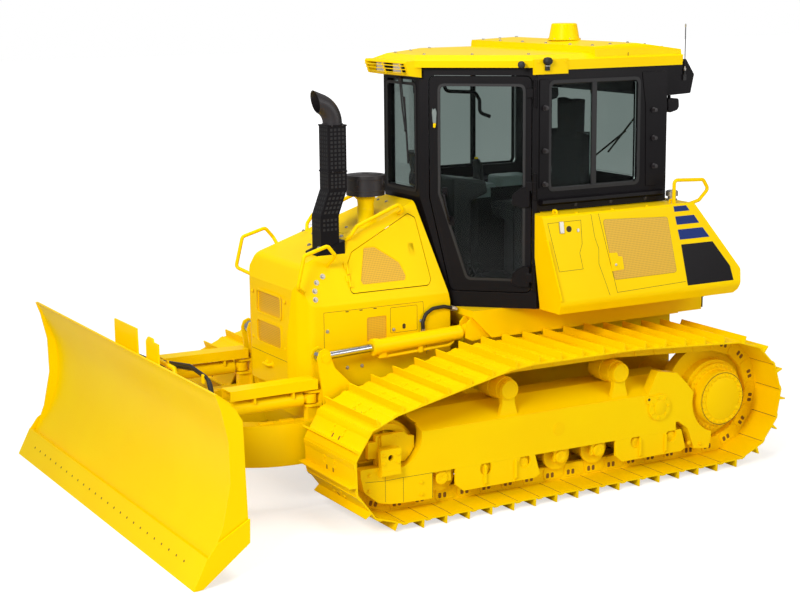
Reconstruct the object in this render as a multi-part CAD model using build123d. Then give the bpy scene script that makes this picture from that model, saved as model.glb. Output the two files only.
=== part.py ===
from build123d import *
import os
from math import atan2, cos, degrees, hypot, pi, radians, sin, tan

# Crawler bulldozer with wide shoes and a power angle and tilt blade.
# Frame: +X forward, +Y to the machine's left, +Z up, millimetres.
# Z = 0 is the ground under the grouser tips, X = 0 is half way between the
# cutting edge and the rearmost grouser, Y = 0 is the centre plane.

# ---- overall and undercarriage ------------------------------------------
SPROCKET_X = -1890.0
IDLER_X = 790.0
IDLER_AXLE_Z = 410.0
GAUGE = 2010.0
SHOE_WIDTH = 710.0
GROUSER = 50.0            # height of a grouser over its plate
GROUSER_THICK = 14.0
SHOE_PLATE = 10.0
PIN_DEPTH = 65.0          # chain pin centre to the plate's inner face
RAIL_RISE = 37.0          # chain pin centre to the rail that rollers run on
NOMINAL_PITCH = 172.5
SPROCKET_GAPS = 13
DRIVE_INNER_Y = 760.0     # inner end of the final drive
BUSHING_R = 28.0
RAIL_GAP = 100.0          # free width between the two link rails
RAIL_THICK = 42.0
CARRIERS_X = (-110.0, -1020.0)
CARRIER_Z = 770.0
CARRIER_R = 80.0
CHORD_LIFT = 10.0         # a straight link bridging a carrier roller rides this much lower
TRACK_ROLLERS = 7
TRACK_ROLLER_R = 85.0
FRAME_OUTER_Y = 1200.0
FRAME_INNER_Y = 830.0
IDLER_CUT_R = 192.0       # round cut-out of the track frame above and behind the idler's axle
IDLER_CUT_X = 760.0
IDLER_CUT_Z = 560.0
SHOE_TOP_Z = 395.0        # flat on the frame's front end that the idler's yoke slides on
SHOE_INNER = 120.0        # inner face of that front end, from the track's middle
DRUM_R = 240.0            # final drive's flange, which the frame's rear arm goes round
PIVOT_COVER_R = 92.0
FRAME_LOW_Z = 300.0
HANGER_Y = 150.0          # inner face of a roller hanger, from the track's middle
GUARD_THICK = 16.0
FRAME_SHOULDER_Z = 585.0
FRAME_TOP_Z = 682.0
RUNNING_GAP = 0.3         # turned faces that touch on different pieces
PIN_GAP = 0.1             # radial clearance of a hinge pin
CLEAR = 6.0               # least air between pieces that move past each other

# ---- hull and engine cover ----------------------------------------------
HULL_HALF = 420.0
HULL_LOW_Z = 330.0
HULL_FRONT_X = 980.0
HULL_REAR_X = SPROCKET_X - 160
DRAWBAR_REACH = 190.0      # pin bore behind the hull
AXLE_R = 150.0
PIVOT_SHAFT_X = -1346.0
PIVOT_SHAFT_Z = 489.0
EQUALIZER_X = -150.0
DRAWBAR_X = HULL_REAR_X - DRAWBAR_REACH
DRAWBAR_Z = 500.0
DRAWBAR_BORE_R = 24.0
NOSE_X = 1075.0
NOSE_FLAT_HALF = 290.0
NOSE_VENTS_Z = (995.0, 1200.0)
NOSE_VENT_HALF = 188.0
NOSE_VENT_HIGH = 148.0
COVER_HALF = 450.0
COVER_LOW_Z = 745.0
COVER_CREASE_Z = 1310.0
COVER_LEAN = 20.5         # degrees the upper side leans inwards
COVER_NOSE_TOP_Z = 1583.0
COVER_SLOPE = 20.6        # degrees the top rises rearwards
COVER_WALL = 8.0
NOSE_SEAM_X = 886.0
COVER_REAR_TOP_X = 50.0
COVER_REAR_LOW_X = -100.0
DOOR_GAP = 6.0
SIDE_DOOR = [(655, 1375), (655, 1545), (600, 1634), (491, 1682), (117, 1850), (69, 1821), (34, 1409),
             (58, 1375)]
SIDE_VENT = [(571, 1447), (504, 1660), (422, 1660), (253, 1543), (218, 1451), (228, 1422), (562, 1420)]
SIDE_VENT_DEPTH = 4.0
LOW_VENT = (402, 556, 1033, 1202)
SIDE_HINGE_X = 658.0      # hinge line of a side door, in the gap ahead of it
SIDE_HINGE_OUT = 8.0
SIDE_KNUCKLE = 40.0
SIDE_HINGES_UP = (110.0, 200.0)
EXHAUST_X = 755.0
EXHAUST_Y = 250.0
EXHAUST_SHIFT = 65.0      # the upper run stands this much further back
EXHAUST_R = 55.0
OUTLET_R = 65.0            # bent outlet over the sleeve
OUTLET_WALL = 4.5
OUTLET_Z = 2497.0          # its foot, just over the sleeve
OUTLET_FOOT = 6.0          # straight length under its bend
OUTLET_BEND = 144.0
OUTLET_TURN = 68.0         # degrees from upright to forward
OUTLET_REACH = 36.0        # from the bend to the middle of the mouth
OUTLET_SLANT = 12.0        # the mouth's top overhangs by this many degrees
SLEEVE_HALF = 68.0
PRECLEANER_X = 365.0
PRECLEANER_Y = 100.0
PRECLEANER_LOW_Z = 1985.0
NECK_R = 57.0              # its neck from the hood
PRECLEANER_R = 133.0

# ---- cab -----------------------------------------------------------------
CAB_FRONT_X = 20.0
CAB_FRONT_HALF = 250.0
CAB_PILLAR_X = -580.0     # corner between the angled door side and the flat side
CAB_HALF = 800.0
CAB_REAR_X = -1680.0
CAB_KNEE_Z = 1960.0       # above it the front is upright, below it slants back
CAB_TOE_X = -125.0        # front edge at the floor
CAB_TOP_Z = 2850.0
CAB_WALL = 60.0
CAB_SILL_Z = 1875.0       # underside of the cab's rear sides, over the tanks
ROOF_TOP_Z = 2930.0
ROOF_REAR_X = -1805.0
ROOF_DECK_X = -1050.0     # front edge of the raised rear deck
ROOF_DECK_Z = 2990.0
DOME_X = -1353.0
DOME_TOP_Z = 3110.0
GLASS = 8.0
SIDE_WINDOW = (-1430.0, -684.0, 2020.0, 2746.0)
WINDOW_CORNER = 35.0
DOOR_OUTLINE = [(70, 2790), (70, 1960), (215, 1315), (775, 1315), (775, 2790)]
DOOR_GLASS = [(138, 2730), (138, 1990), (330, 1400), (724, 1400), (724, 2730)]
DOOR_THICK = 40.0
DOOR_CORNER = 40.0
DOOR_HINGE_U = 800.0      # hinge line, measured rearwards along the door side
DOOR_HINGE_OUT = 22.0     # and out from it
DOOR_HINGES_Z = (1420.0, 2050.0, 2680.0)
KNUCKLE = 60.0
SEAT_X = -1370.0          # rear of the seat cushion

# ---- tanks beside the cab -------------------------------------------------
TANK_INNER_Y = 625.0
TANK_TOP_Y = 980.0
TANK_CREASE_Y = 1085.0
TANK_LOW_Y = 1045.0
TANK_LOW_Z = 1200.0        # tanks and cab stand on the deck at this height
TANK_CREASE_Z = 1270.0
TANK_TOP_Z = 1870.0
TANK_FRONT_TOP_X = -500.0
TANK_FRONT_LOW_X = -600.0
TANK_REAR_TOP_X = -1796.0
TANK_REAR_X = -2150.0
DECK_LOW_Z = 1000.0
DECK_TOP_Z = TANK_LOW_Z - RUNNING_GAP
DECK_HALF = 642.0
CAB_LOW_Z = TANK_LOW_Z
FLOOR_Z = CAB_LOW_Z + CAB_WALL
COWL_HALF = TANK_INNER_Y - RUNNING_GAP
COWL_FRONT_X = CAB_REAR_X - RUNNING_GAP
COWL_REAR_X = -2180.0
COWL_BEND_Z = 1500.0
COWL_WALL = 8.0
FAN_Z = 1250.0
FAN_R = 215.0
GRILLE_HINGE_X = COWL_REAR_X - 24
GRILLE_HINGE_Z = COWL_BEND_Z + 6

# ---- blade and its frame --------------------------------------------------
BLADE_WIDTH = 3350.0
BLADE_TOP_WIDTH = 3280.0
BLADE_HEIGHT = 1137.0
EDGE_TIP_X = 2367.0
EDGE_REST_Z = 2.0         # the parked edge stands just clear of the ground
EDGE_HEIGHT = 160.0
MOULDBOARD = 16.0
FRAME_PIVOT_X = 220.0
FRAME_PIVOT_Z = 450.0
ARM_INNER_Y = 492.0
ARM_OUTER_Y = 608.0
ARM_LOW_Z = 310.0
ARM_TOP_Z = 590.0
BOW_CENTRE_X = 1160.0     # centre of the bow that joins the two arms
SWIVEL_X = 1850.0
SWIVEL_Z = 520.0
LIFT_Y = 555.0
LIFT_EYE_X = 952.0
LIFT_EYE_Z = 1002.0
LIFT_MOUNT_X = -182.0
LIFT_MOUNT_Z = 1050.0
LIFT_BARREL_R = 50.0
LIFT_ROD_R = 28.0
ANGLE_MOUNT_X = 1045.0
ANGLE_MOUNT_Y = 545.0
ANGLE_EYE_X = 1956.0
ANGLE_EYE_Y = 575.0
ANGLE_Z = 735.0
ANGLE_BARREL_R = 48.0
ANGLE_ROD_R = 28.0
CHEEK_IN = 80.0           # free width beside the ball, towards the middle
CHEEK_OUT = 122.0         # and outwards, where the ball swings at full angle
TILT_X = 1990.0
TILT_EYE_Y = -420.0
TILT_Z = 880.0
TILT_BARREL_R = 46.0
TILT_ROD_R = 26.0
TILT_SHAFT_R = 50.0
EYE_HALF = 30.0           # half the thickness of a cylinder's eye
BIG_EYE_R = 48.0
SMALL_EYE_R = 44.0
FRAME_PIN_R = 45.0
LIFT_PIN_R = 22.0
ANGLE_PIN_R = 20.0
SWIVEL_PIN_R = 36.0
LUG_R = 78.0
FORK_LOW_Z = 380.0
FORK_TOP_Z = 660.0
BLADE_TOP_X = 2187.0
BLADE_DEEP_X = 2050.0
BLADE_DEEP_Z = 610.0
BLADE_LOW_X = 2252.0
TOP_BEAM_X = 2085.0


# ---- small helpers ---------------------------------------------------------
def block(x0, x1, y0, y1, z0, z1):
    """Box between two corners."""
    return Pos((x0 + x1) / 2, (y0 + y1) / 2, (z0 + z1) / 2) * Box(abs(x1 - x0), abs(y1 - y0), abs(z1 - z0))


def flat_face(points, radii):
    """Face through points; radii gives a corner radius for the place of a point in the list."""
    face = make_face(Polyline(points, close=True).edges()).face()
    for i, radius in (radii or {}).items():
        corner = face.vertices().sort_by_distance(Vector(*points[i]))[0]
        face = face.fillet_2d(radius, [corner])
    return face


def side_plate(points, y0, y1, radii=None):
    """Prism whose XZ outline runs from y0 to y1."""
    return extrude(flat_face([(x, y0, z) for x, z in points], radii), amount=y1 - y0, dir=(0, 1, 0))


def plan_plate(points, z0, z1, radii=None):
    """Prism whose XY outline runs from z0 up to z1."""
    return extrude(flat_face([(x, y, z0) for x, y in points], radii), amount=z1 - z0, dir=(0, 0, 1))


def cross_plate(points, x0, x1, radii=None):
    """Prism whose YZ outline runs from x0 to x1."""
    return extrude(flat_face([(x0, y, z) for y, z in points], radii), amount=x1 - x0, dir=(1, 0, 0))


def rod(start, end, radius):
    """Solid round bar from start to end."""
    start, end = Vector(*start), Vector(*end)
    along = end - start
    return Plane(origin=start, z_dir=along) * Cylinder(
        radius, along.length, align=(Align.CENTER, Align.CENTER, Align.MIN))


def disc_y(x, z, radius, y0, y1):
    """Round disc about an axis along Y."""
    return rod((x, min(y0, y1), z), (x, max(y0, y1), z), radius)


def pipe(points, radius, bend):
    """Bent round bar through points with one bend radius."""
    path = FilletPolyline([Vector(*p) for p in points], radius=bend)
    start = path @ 0
    return sweep(Plane(origin=start, z_dir=path % 0) * Circle(radius), path=path)


def mirrored(shape):
    return mirror(shape, about=Plane.XZ)


def both(shape):
    """A left piece and its mirror image on the right."""
    return [shape, mirrored(shape)]


def save(name, shapes):
    """Write one node; shapes is a solid or a list of separate solids."""
    items = shapes if isinstance(shapes, list) else [shapes]
    solids = [solid for item in items for solid in item.solids()]
    export_step(Compound(children=solids) if len(solids) > 1 else solids[0], f"parts/{name}.step")


# ---- track chain -------------------------------------------------------------
def tangent_loop(circles):
    """Belt round circles (x, z, r) taken anticlockwise: straight runs and arcs.

    Each part is ("line", start, end) or ("arc", centre, radius, start angle, sweep).
    """
    count = len(circles)
    normals = []
    for i in range(count):
        (xa, za, ra), (xb, zb, rb) = circles[i], circles[(i + 1) % count]
        run = hypot(xb - xa, zb - za)
        heading = atan2(zb - za, xb - xa)
        spread = (ra - rb) / run
        normals.append(heading - pi / 2 + atan2(spread, (1 - spread ** 2) ** 0.5))
    parts = []
    for i in range(count):
        x, z, r = circles[i]
        before, after = normals[i - 1], normals[i]
        turn = (after - before) % (2 * pi)
        parts.append(("arc", (x, z), r, before, turn))
        xn, zn, rn = circles[(i + 1) % count]
        leave = (x + r * cos(after), z + r * sin(after))
        arrive = (xn + rn * cos(after), zn + rn * sin(after))
        parts.append(("line", leave, arrive))
    return parts


def part_length(part):
    if part[0] == "line":
        return hypot(part[2][0] - part[1][0], part[2][1] - part[1][1])
    return part[2] * part[4]


def point_at(parts, distance):
    """Point at a distance along the loop, which wraps round."""
    distance %= sum(part_length(p) for p in parts)
    for part in parts:
        length = part_length(part)
        if distance <= length:
            break
        distance -= length
    if part[0] == "line":
        t = distance / length
        return tuple(a + (b - a) * t for a, b in zip(part[1], part[2]))
    angle = part[3] + distance / part[2]
    return part[1][0] + part[2] * cos(angle), part[1][1] + part[2] * sin(angle)


def pin_height():
    """Height of the chain pins over the ground on the lower run."""
    return GROUSER + SHOE_PLATE + PIN_DEPTH


def pitch_circles(pitch):
    """Circles that the chain pins follow, anticlockwise from the sprocket."""
    sprocket = pitch / 2 / sin(pi / SPROCKET_GAPS)
    carrier = CARRIER_R + CHORD_LIFT + RAIL_RISE
    circles = [(SPROCKET_X, pin_height() + sprocket, sprocket),
               (IDLER_X, IDLER_AXLE_Z, IDLER_AXLE_Z - pin_height())]
    return circles + [(x, CARRIER_Z, carrier) for x in CARRIERS_X]


def march(parts, pitch, start, count):
    """Distances along the loop of count pins, each one chord of pitch from the last."""
    places = [start]
    for _ in range(count):
        here = point_at(parts, places[-1])
        low, high = places[-1] + pitch * 0.9, places[-1] + pitch * 1.3
        for _ in range(40):
            middle = (low + high) / 2
            there = point_at(parts, middle)
            if hypot(there[0] - here[0], there[1] - here[1]) < pitch:
                low = middle
            else:
                high = middle
        places.append(low)
    return places


def chain():
    """Pitch and pin centres of a closed chain whose links all have one length."""
    loop = tangent_loop(pitch_circles(NOMINAL_PITCH))
    total = sum(part_length(p) for p in loop)
    count = round(total / NOMINAL_PITCH)
    low, high = NOMINAL_PITCH * 0.95, NOMINAL_PITCH * 1.05
    for _ in range(30):
        pitch = (low + high) / 2
        loop = tangent_loop(pitch_circles(pitch))
        total = sum(part_length(p) for p in loop)
        places = march(loop, pitch, 0.0, count)
        if places[-1] < total:
            low = pitch
        else:
            high = pitch
    return pitch, [point_at(loop, s) for s in places[:-1]]


PITCH, PINS = chain()
SPROCKET_R = PITCH / 2 / sin(pi / SPROCKET_GAPS)
SPROCKET_Z = pin_height() + SPROCKET_R
TRACK_Y = GAUGE / 2


def link_frames():
    """Middle, direction and outward normal of every link, anticlockwise."""
    frames = []
    for i, (xa, za) in enumerate(PINS):
        xb, zb = PINS[(i + 1) % len(PINS)]
        u = ((xb - xa) / PITCH, (zb - za) / PITCH)
        frames.append(((xa + xb) / 2, (za + zb) / 2, u, (u[1], -u[0])))
    return frames


def offset_corners(depth):
    """Corners of the closed polygon that lies depth outside the pin line."""
    frames = link_frames()
    corners = []
    for i, (x, z, u, n) in enumerate(frames):
        _, _, _, before = frames[i - 1]
        bisector = (n[0] + before[0], n[1] + before[1])
        scale = depth / (bisector[0] * n[0] + bisector[1] * n[1])
        px, pz = PINS[i]
        corners.append((px + bisector[0] * scale, pz + bisector[1] * scale))
    return corners


def shoe_outline():
    """Outer outline of the closed belt of shoes, each with its grouser."""
    plate = PIN_DEPTH + SHOE_PLATE
    corners = offset_corners(plate)
    outline = []
    for i, (x, z, u, n) in enumerate(link_frames()):
        outline.append(corners[i])
        foot = -PITCH * 0.36
        for along, up in ((foot, plate), (foot + 4, plate + GROUSER),
                          (foot + GROUSER_THICK, plate + GROUSER), (foot + GROUSER_THICK + 6, plate)):
            outline.append((x + u[0] * along + n[0] * up, z + u[1] * along + n[1] * up))
    return outline


def make_track():
    """Left track: a closed belt of shoes on two link rails."""
    half = SHOE_WIDTH / 2
    belt = side_plate(shoe_outline(), TRACK_Y - half, TRACK_Y + half)
    belt -= side_plate(offset_corners(PIN_DEPTH), TRACK_Y - half - 1, TRACK_Y + half + 1)
    inner = RAIL_GAP / 2
    rails = side_plate(offset_corners(PIN_DEPTH + SHOE_PLATE / 2), inner, inner + RAIL_THICK)
    rails -= side_plate(offset_corners(-RAIL_RISE), inner - 1, inner + RAIL_THICK + 1)
    return belt + Pos(0, TRACK_Y, 0) * rails + Pos(0, TRACK_Y, 0) * mirrored(rails)


def make_sprocket():
    """Toothed ring between the link rails, with the final drive's drum outside it."""
    thick = RAIL_GAP - 2 * CLEAR
    ring = disc_y(SPROCKET_X, SPROCKET_Z, SPROCKET_R + 14, TRACK_Y - thick / 2, TRACK_Y + thick / 2)
    for x, z in PINS:
        if hypot(x - SPROCKET_X, z - SPROCKET_Z) < SPROCKET_R + 1:
            ring -= disc_y(x, z, BUSHING_R + 2, TRACK_Y - thick, TRACK_Y + thick)
    drums = ((262, TRACK_Y, 1120), (DRUM_R, 1120, 1150), (197, 1150, 1225), (185, 1225, 1232),
             (215, DRIVE_INNER_Y, TRACK_Y))
    for radius, y0, y1 in drums:
        ring += disc_y(SPROCKET_X, SPROCKET_Z, radius, y0, y1)
    return ring


def make_idler():
    """Front wheel: two treads under the link rails and a rib between them."""
    chord = hypot(IDLER_AXLE_Z - pin_height(), PITCH / 2)
    tread = (2 * (IDLER_AXLE_Z - pin_height()) ** 2 - chord ** 2) ** 0.5 - RAIL_RISE - RUNNING_GAP
    wide = RAIL_GAP / 2 + RAIL_THICK
    rib = RAIL_GAP / 2 - CLEAR
    wheel = disc_y(IDLER_X, IDLER_AXLE_Z, tread, TRACK_Y - wide, TRACK_Y + wide)
    wheel += disc_y(IDLER_X, IDLER_AXLE_Z, tread + 22, TRACK_Y - rib, TRACK_Y + rib)
    for side in (-1, 1):
        y = TRACK_Y + side * wide
        wheel -= disc_y(IDLER_X, IDLER_AXLE_Z, tread - 40, y, y - side * 30)
        wheel += disc_y(IDLER_X, IDLER_AXLE_Z, 70, y - side * 31, y + side * 20)
    return wheel


def make_carrier(x):
    """Flanged roller under the upper run."""
    wide = RAIL_GAP / 2 + RAIL_THICK
    roller = disc_y(x, CARRIER_Z, CARRIER_R, TRACK_Y - wide, TRACK_Y + wide + 45)
    roller += disc_y(x, CARRIER_Z, CARRIER_R + 6, TRACK_Y - RAIL_GAP / 2 + CLEAR,
                     TRACK_Y + RAIL_GAP / 2 - CLEAR)
    return roller


def track_roller_places():
    first, last = IDLER_X - 400.0, SPROCKET_X + 430.0
    return [first + (last - first) * i / (TRACK_ROLLERS - 1) for i in range(TRACK_ROLLERS)]


def track_roller_z():
    return pin_height() + RAIL_RISE + RUNNING_GAP + TRACK_ROLLER_R


def make_track_roller(x):
    """Bottom roller with flanges between and outside the rails."""
    wide = RAIL_GAP / 2 + RAIL_THICK
    z = track_roller_z()
    roller = disc_y(x, z, TRACK_ROLLER_R, TRACK_Y - wide - 26, TRACK_Y + wide + 26)
    for side in (-1, 1):
        flange = TRACK_Y + side * (wide + CLEAR)
        roller += disc_y(x, z, TRACK_ROLLER_R + 20, flange, flange + side * 20)
        roller += disc_y(x, z, 40, flange, TRACK_Y + side * (HANGER_Y - RUNNING_GAP))
    return roller


def round_the_sprocket(points, radius):
    """Prism through the outer plate of the frame, cut round the final drive."""
    plate = side_plate(points, TRACK_Y + SHOE_INNER, FRAME_OUTER_Y)
    return plate - disc_y(SPROCKET_X, SPROCKET_Z, radius, TRACK_Y, FRAME_OUTER_Y + 1)


def make_track_frame():
    """Box beam that carries the rollers: a front end under the idler and an arm round the final drive."""
    front_x = IDLER_X - 30
    rear_x = SPROCKET_X + 290
    section = [(FRAME_INNER_Y, FRAME_LOW_Z + 60), (FRAME_OUTER_Y, FRAME_LOW_Z + 60),
               (FRAME_OUTER_Y, FRAME_SHOULDER_Z), (FRAME_OUTER_Y - 190, FRAME_TOP_Z),
               (FRAME_INNER_Y, FRAME_TOP_Z)]
    beam = cross_plate(section, rear_x, front_x)
    beam -= disc_y(IDLER_X, IDLER_AXLE_Z, IDLER_AXLE_Z - pin_height() + 25, FRAME_INNER_Y - 1,
                   TRACK_Y + SHOE_INNER)
    nose = [(IDLER_X + 230, SHOE_TOP_Z), (IDLER_X + 230, 347), (IDLER_X + 205, 245), (IDLER_X + 106, 161),
            (IDLER_X + 19, 140), (IDLER_X - 90, 132), (IDLER_X - 295, 127), (IDLER_X - 300, FRAME_LOW_Z),
            (IDLER_X - 380, FRAME_LOW_Z), (IDLER_X - 380, SHOE_TOP_Z)]
    for y0, y1 in ((TRACK_Y + SHOE_INNER, FRAME_OUTER_Y), (FRAME_INNER_Y, TRACK_Y - SHOE_INNER)):
        beam += side_plate(nose, y0, y1, {1: 30, 2: 60, 3: 60})
    beam -= disc_y(IDLER_CUT_X, IDLER_CUT_Z, IDLER_CUT_R, FRAME_INNER_Y - 1, FRAME_OUTER_Y + 1)
    beam -= block(IDLER_CUT_X, IDLER_X + 300, FRAME_INNER_Y - 1, FRAME_OUTER_Y + 1, SHOE_TOP_Z,
                  FRAME_TOP_Z + 1)
    beam -= disc_y(SPROCKET_X, SPROCKET_Z, 395, FRAME_INNER_Y - 1, TRACK_Y + SHOE_INNER)
    arm = [(-1240, FRAME_SHOULDER_Z - 20), (-1330, 745), (-1500, 715), (-1580, 640), (-1700, 500),
           (-1824, 300),
           (-1820, 210), (-1801, 127), (-1668, 141), (-1607, 297), (-1523, FRAME_LOW_Z + 60)]
    beam += round_the_sprocket(arm, DRUM_R + CLEAR)
    skirt = [(IDLER_X - 310, FRAME_LOW_Z), (IDLER_X - 310, FRAME_LOW_Z + 70), (-1500, FRAME_LOW_Z + 70),
             (-1500, FRAME_LOW_Z)]
    beam += side_plate(skirt, FRAME_OUTER_Y - GUARD_THICK, FRAME_OUTER_Y)
    beam += disc_y(PIVOT_SHAFT_X, PIVOT_SHAFT_Z, PIVOT_COVER_R, FRAME_OUTER_Y - 1, FRAME_OUTER_Y + 14)
    return beam + roller_hangers() + carrier_brackets()


def roller_hangers():
    """Pairs of plates under the beam that hold the bottom rollers."""
    hangers = []
    z = track_roller_z()
    for x in track_roller_places():
        for side in (-1, 1):
            y = TRACK_Y + side * HANGER_Y
            hangers.append(block(x - 55, x + 55, y, y + side * 18, z - 30, FRAME_LOW_Z + 70))
    return hangers


def carrier_brackets():
    """Post and collar outside each carrier roller, on a foot on the beam's shoulder."""
    brackets = []
    for x in CARRIERS_X:
        y0 = TRACK_Y + RAIL_GAP / 2 + RAIL_THICK + 45 + RUNNING_GAP
        post = [(x - 75, FRAME_SHOULDER_Z), (x + 75, FRAME_SHOULDER_Z), (x + 48, FRAME_SHOULDER_Z + 90),
                (x + 48, CARRIER_Z), (x - 48, CARRIER_Z), (x - 48, FRAME_SHOULDER_Z + 90)]
        brackets.append(side_plate(post, y0, y0 + 34))
        brackets.append(disc_y(x, CARRIER_Z, 70, y0, y0 + 40))
    return brackets


def make_idler_mount():
    """Two cheeks that slide on the frame's front end, the outer one with its end block and lug."""
    wide = RAIL_GAP / 2 + RAIL_THICK + 20 + RUNNING_GAP
    low = SHOE_TOP_Z + RUNNING_GAP
    cheek = [(IDLER_X + 93, low), (IDLER_X + 93, 590), (IDLER_X - 116, 590), (IDLER_X - 150, 560),
             (IDLER_X - 190, 555),
             (IDLER_X - 190, 480), (IDLER_X - 158, 432), (IDLER_X - 118, low)]
    outer = side_plate(cheek, TRACK_Y + wide, TRACK_Y + wide + 34, {2: 20})
    outer += block(IDLER_X + 92, IDLER_X + 150, TRACK_Y + wide, TRACK_Y + wide + 40, 444, 552)
    outer += block(IDLER_X - 20, IDLER_X + 60, TRACK_Y + wide + 33, TRACK_Y + wide + 52, 520, 592)
    return [outer, side_plate(cheek, TRACK_Y - wide - 34, TRACK_Y - wide, {2: 20})]


def make_idler_keeper():
    """Upright keeper bolted outside the frame's front end, in front of the yoke."""
    x = IDLER_X + 30
    plate = [(x - 78, 516), (x + 78, 516), (x + 66, 380), (x + 74, 340), (x - 80, 340), (x - 70, 380)]
    keeper = side_plate(plate, FRAME_OUTER_Y + RUNNING_GAP, FRAME_OUTER_Y + 40, {0: 12, 1: 12})
    return keeper - disc_y(x, 458, 20, FRAME_OUTER_Y, FRAME_OUTER_Y + 60)


GUARD_TABLE = (          # front x, rear x, low z of each roller guard
    (IDLER_X - 473, IDLER_X - 1138, 140.0),
    (IDLER_X - 1765, IDLER_X - 2380, 140.0),
)


def make_guard(front, rear, low):
    """Plate outside the rollers, cut round each roller's end, with two upright folds."""
    y0 = FRAME_OUTER_Y - GUARD_THICK
    outline = [(front, FRAME_LOW_Z - RUNNING_GAP), (front, low + 50), (front - 60, low), (rear + 40, low),
               (rear, low + 20), (rear + 40, FRAME_LOW_Z - RUNNING_GAP)]
    guard = side_plate(outline, y0, FRAME_OUTER_Y)
    for x in track_roller_places():
        guard -= disc_y(x, track_roller_z() + 20, 46, y0 - 1, FRAME_OUTER_Y + 50)
    for share in (0.3, 0.66):
        x = rear + (front - rear) * share
        fold = [(FRAME_OUTER_Y - 1, low + 6), (FRAME_OUTER_Y + 16, low + 30),
                (FRAME_OUTER_Y + 16, FRAME_LOW_Z - 20),
                (FRAME_OUTER_Y - 1, FRAME_LOW_Z - 6)]
        guard += cross_plate(fold, x - 6, x + 6)
    return guard


# ---- hull ---------------------------------------------------------------------
def make_main_frame():
    """Hull between the tracks with the rear case, axle tubes, cross bar and deck."""
    sill_z = COVER_LOW_Z - RUNNING_GAP
    profile = [(HULL_FRONT_X, sill_z), (HULL_FRONT_X, 520), (900, HULL_LOW_Z),
               (-1600, HULL_LOW_Z), (HULL_REAR_X, 480), (HULL_REAR_X, DECK_LOW_Z + 2),
               (-260, DECK_LOW_Z + 2), (-160, sill_z)]
    hull = side_plate(profile, -HULL_HALF, HULL_HALF)
    hull += plan_plate([(x - 2, y * 0.99) for x, y in cover_plan(0)], sill_z - 25, sill_z) & block(
        -165, NOSE_X, -600, 600, 0, 3000)
    deck = [(-165, DECK_TOP_Z), (-165, 1155), (-320, DECK_LOW_Z), (-1950, DECK_LOW_Z), (-1950, DECK_TOP_Z)]
    hull += side_plate(deck, -DECK_HALF, DECK_HALF)
    hull += disc_y(SPROCKET_X, SPROCKET_Z, AXLE_R, RUNNING_GAP - DRIVE_INNER_Y, DRIVE_INNER_Y - RUNNING_GAP)
    hull += disc_y(PIVOT_SHAFT_X, PIVOT_SHAFT_Z, 60, RUNNING_GAP - FRAME_INNER_Y,
                   FRAME_INNER_Y - RUNNING_GAP)
    hull += block(EQUALIZER_X - 60, EQUALIZER_X + 60, RUNNING_GAP - FRAME_INNER_Y,
                  FRAME_INNER_Y - RUNNING_GAP, 560, 640)
    for side in (-1, 1):
        hull += disc_y(FRAME_PIVOT_X, FRAME_PIVOT_Z, FRAME_PIN_R, side * (HULL_HALF - 1),
                       side * (ARM_OUTER_Y + 12))
        ear = [(-330, 1045), (-190, 1160), (LIFT_MOUNT_X + 40, 1110), (LIFT_MOUNT_X + 50, 1010),
               (LIFT_MOUNT_X, DECK_LOW_Z - 15), (-330, DECK_LOW_Z)]
        for y in (LIFT_Y - EYE_HALF - 22, LIFT_Y + EYE_HALF + 6):
            hull += side_plate(ear, side * y, side * (y + 16))
        hull += disc_y(LIFT_MOUNT_X, LIFT_MOUNT_Z, LIFT_PIN_R, side * (LIFT_Y - EYE_HALF - 22),
                       side * (LIFT_Y + EYE_HALF + 22))
    return hull


def make_drawbar():
    """Rear drawbar: two jaws with a vertical pin bore."""
    plate = block(HULL_REAR_X - 30, HULL_REAR_X - RUNNING_GAP, -260, 260, 380, 700)
    jaw = []
    for z in (DRAWBAR_Z - 70, DRAWBAR_Z + 40):
        jaw.append(block(DRAWBAR_X, HULL_REAR_X - 20, -90, 90, z, z + 30))
        jaw.append(Pos(DRAWBAR_X, 0, z + 15) * Cylinder(90, 30))
    bar = plate + jaw
    return bar - Pos(DRAWBAR_X, 0, DRAWBAR_Z) * Cylinder(DRAWBAR_BORE_R, 400)


def make_engine():
    """The engine as one plain block inside the cover."""
    return block(150, 900, -230, 230, COVER_LOW_Z, 1390)


# ---- engine cover ---------------------------------------------------------------
def cover_half_at(z):
    """Half width of the cover's leaning upper side."""
    return COVER_HALF - (z - COVER_CREASE_Z) * sin(radians(COVER_LEAN)) / cos(radians(COVER_LEAN))


def cover_top_at(x):
    """Height of the sloping top."""
    rise = sin(radians(COVER_SLOPE)) / cos(radians(COVER_SLOPE))
    return COVER_NOSE_TOP_Z + (NOSE_X - 90 - x) * rise


def cover_plan(inset):
    """Plan of the cover with its blunt nose, drawn in by inset at the nose."""
    flat = NOSE_FLAT_HALF - inset
    left = [(NOSE_X - inset, flat), (NOSE_X - 32 - inset, 372 - inset), (NOSE_X - 105 - inset, COVER_HALF),
            (-300, COVER_HALF)]
    return left + [(x, -y) for x, y in reversed(left)]


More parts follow.
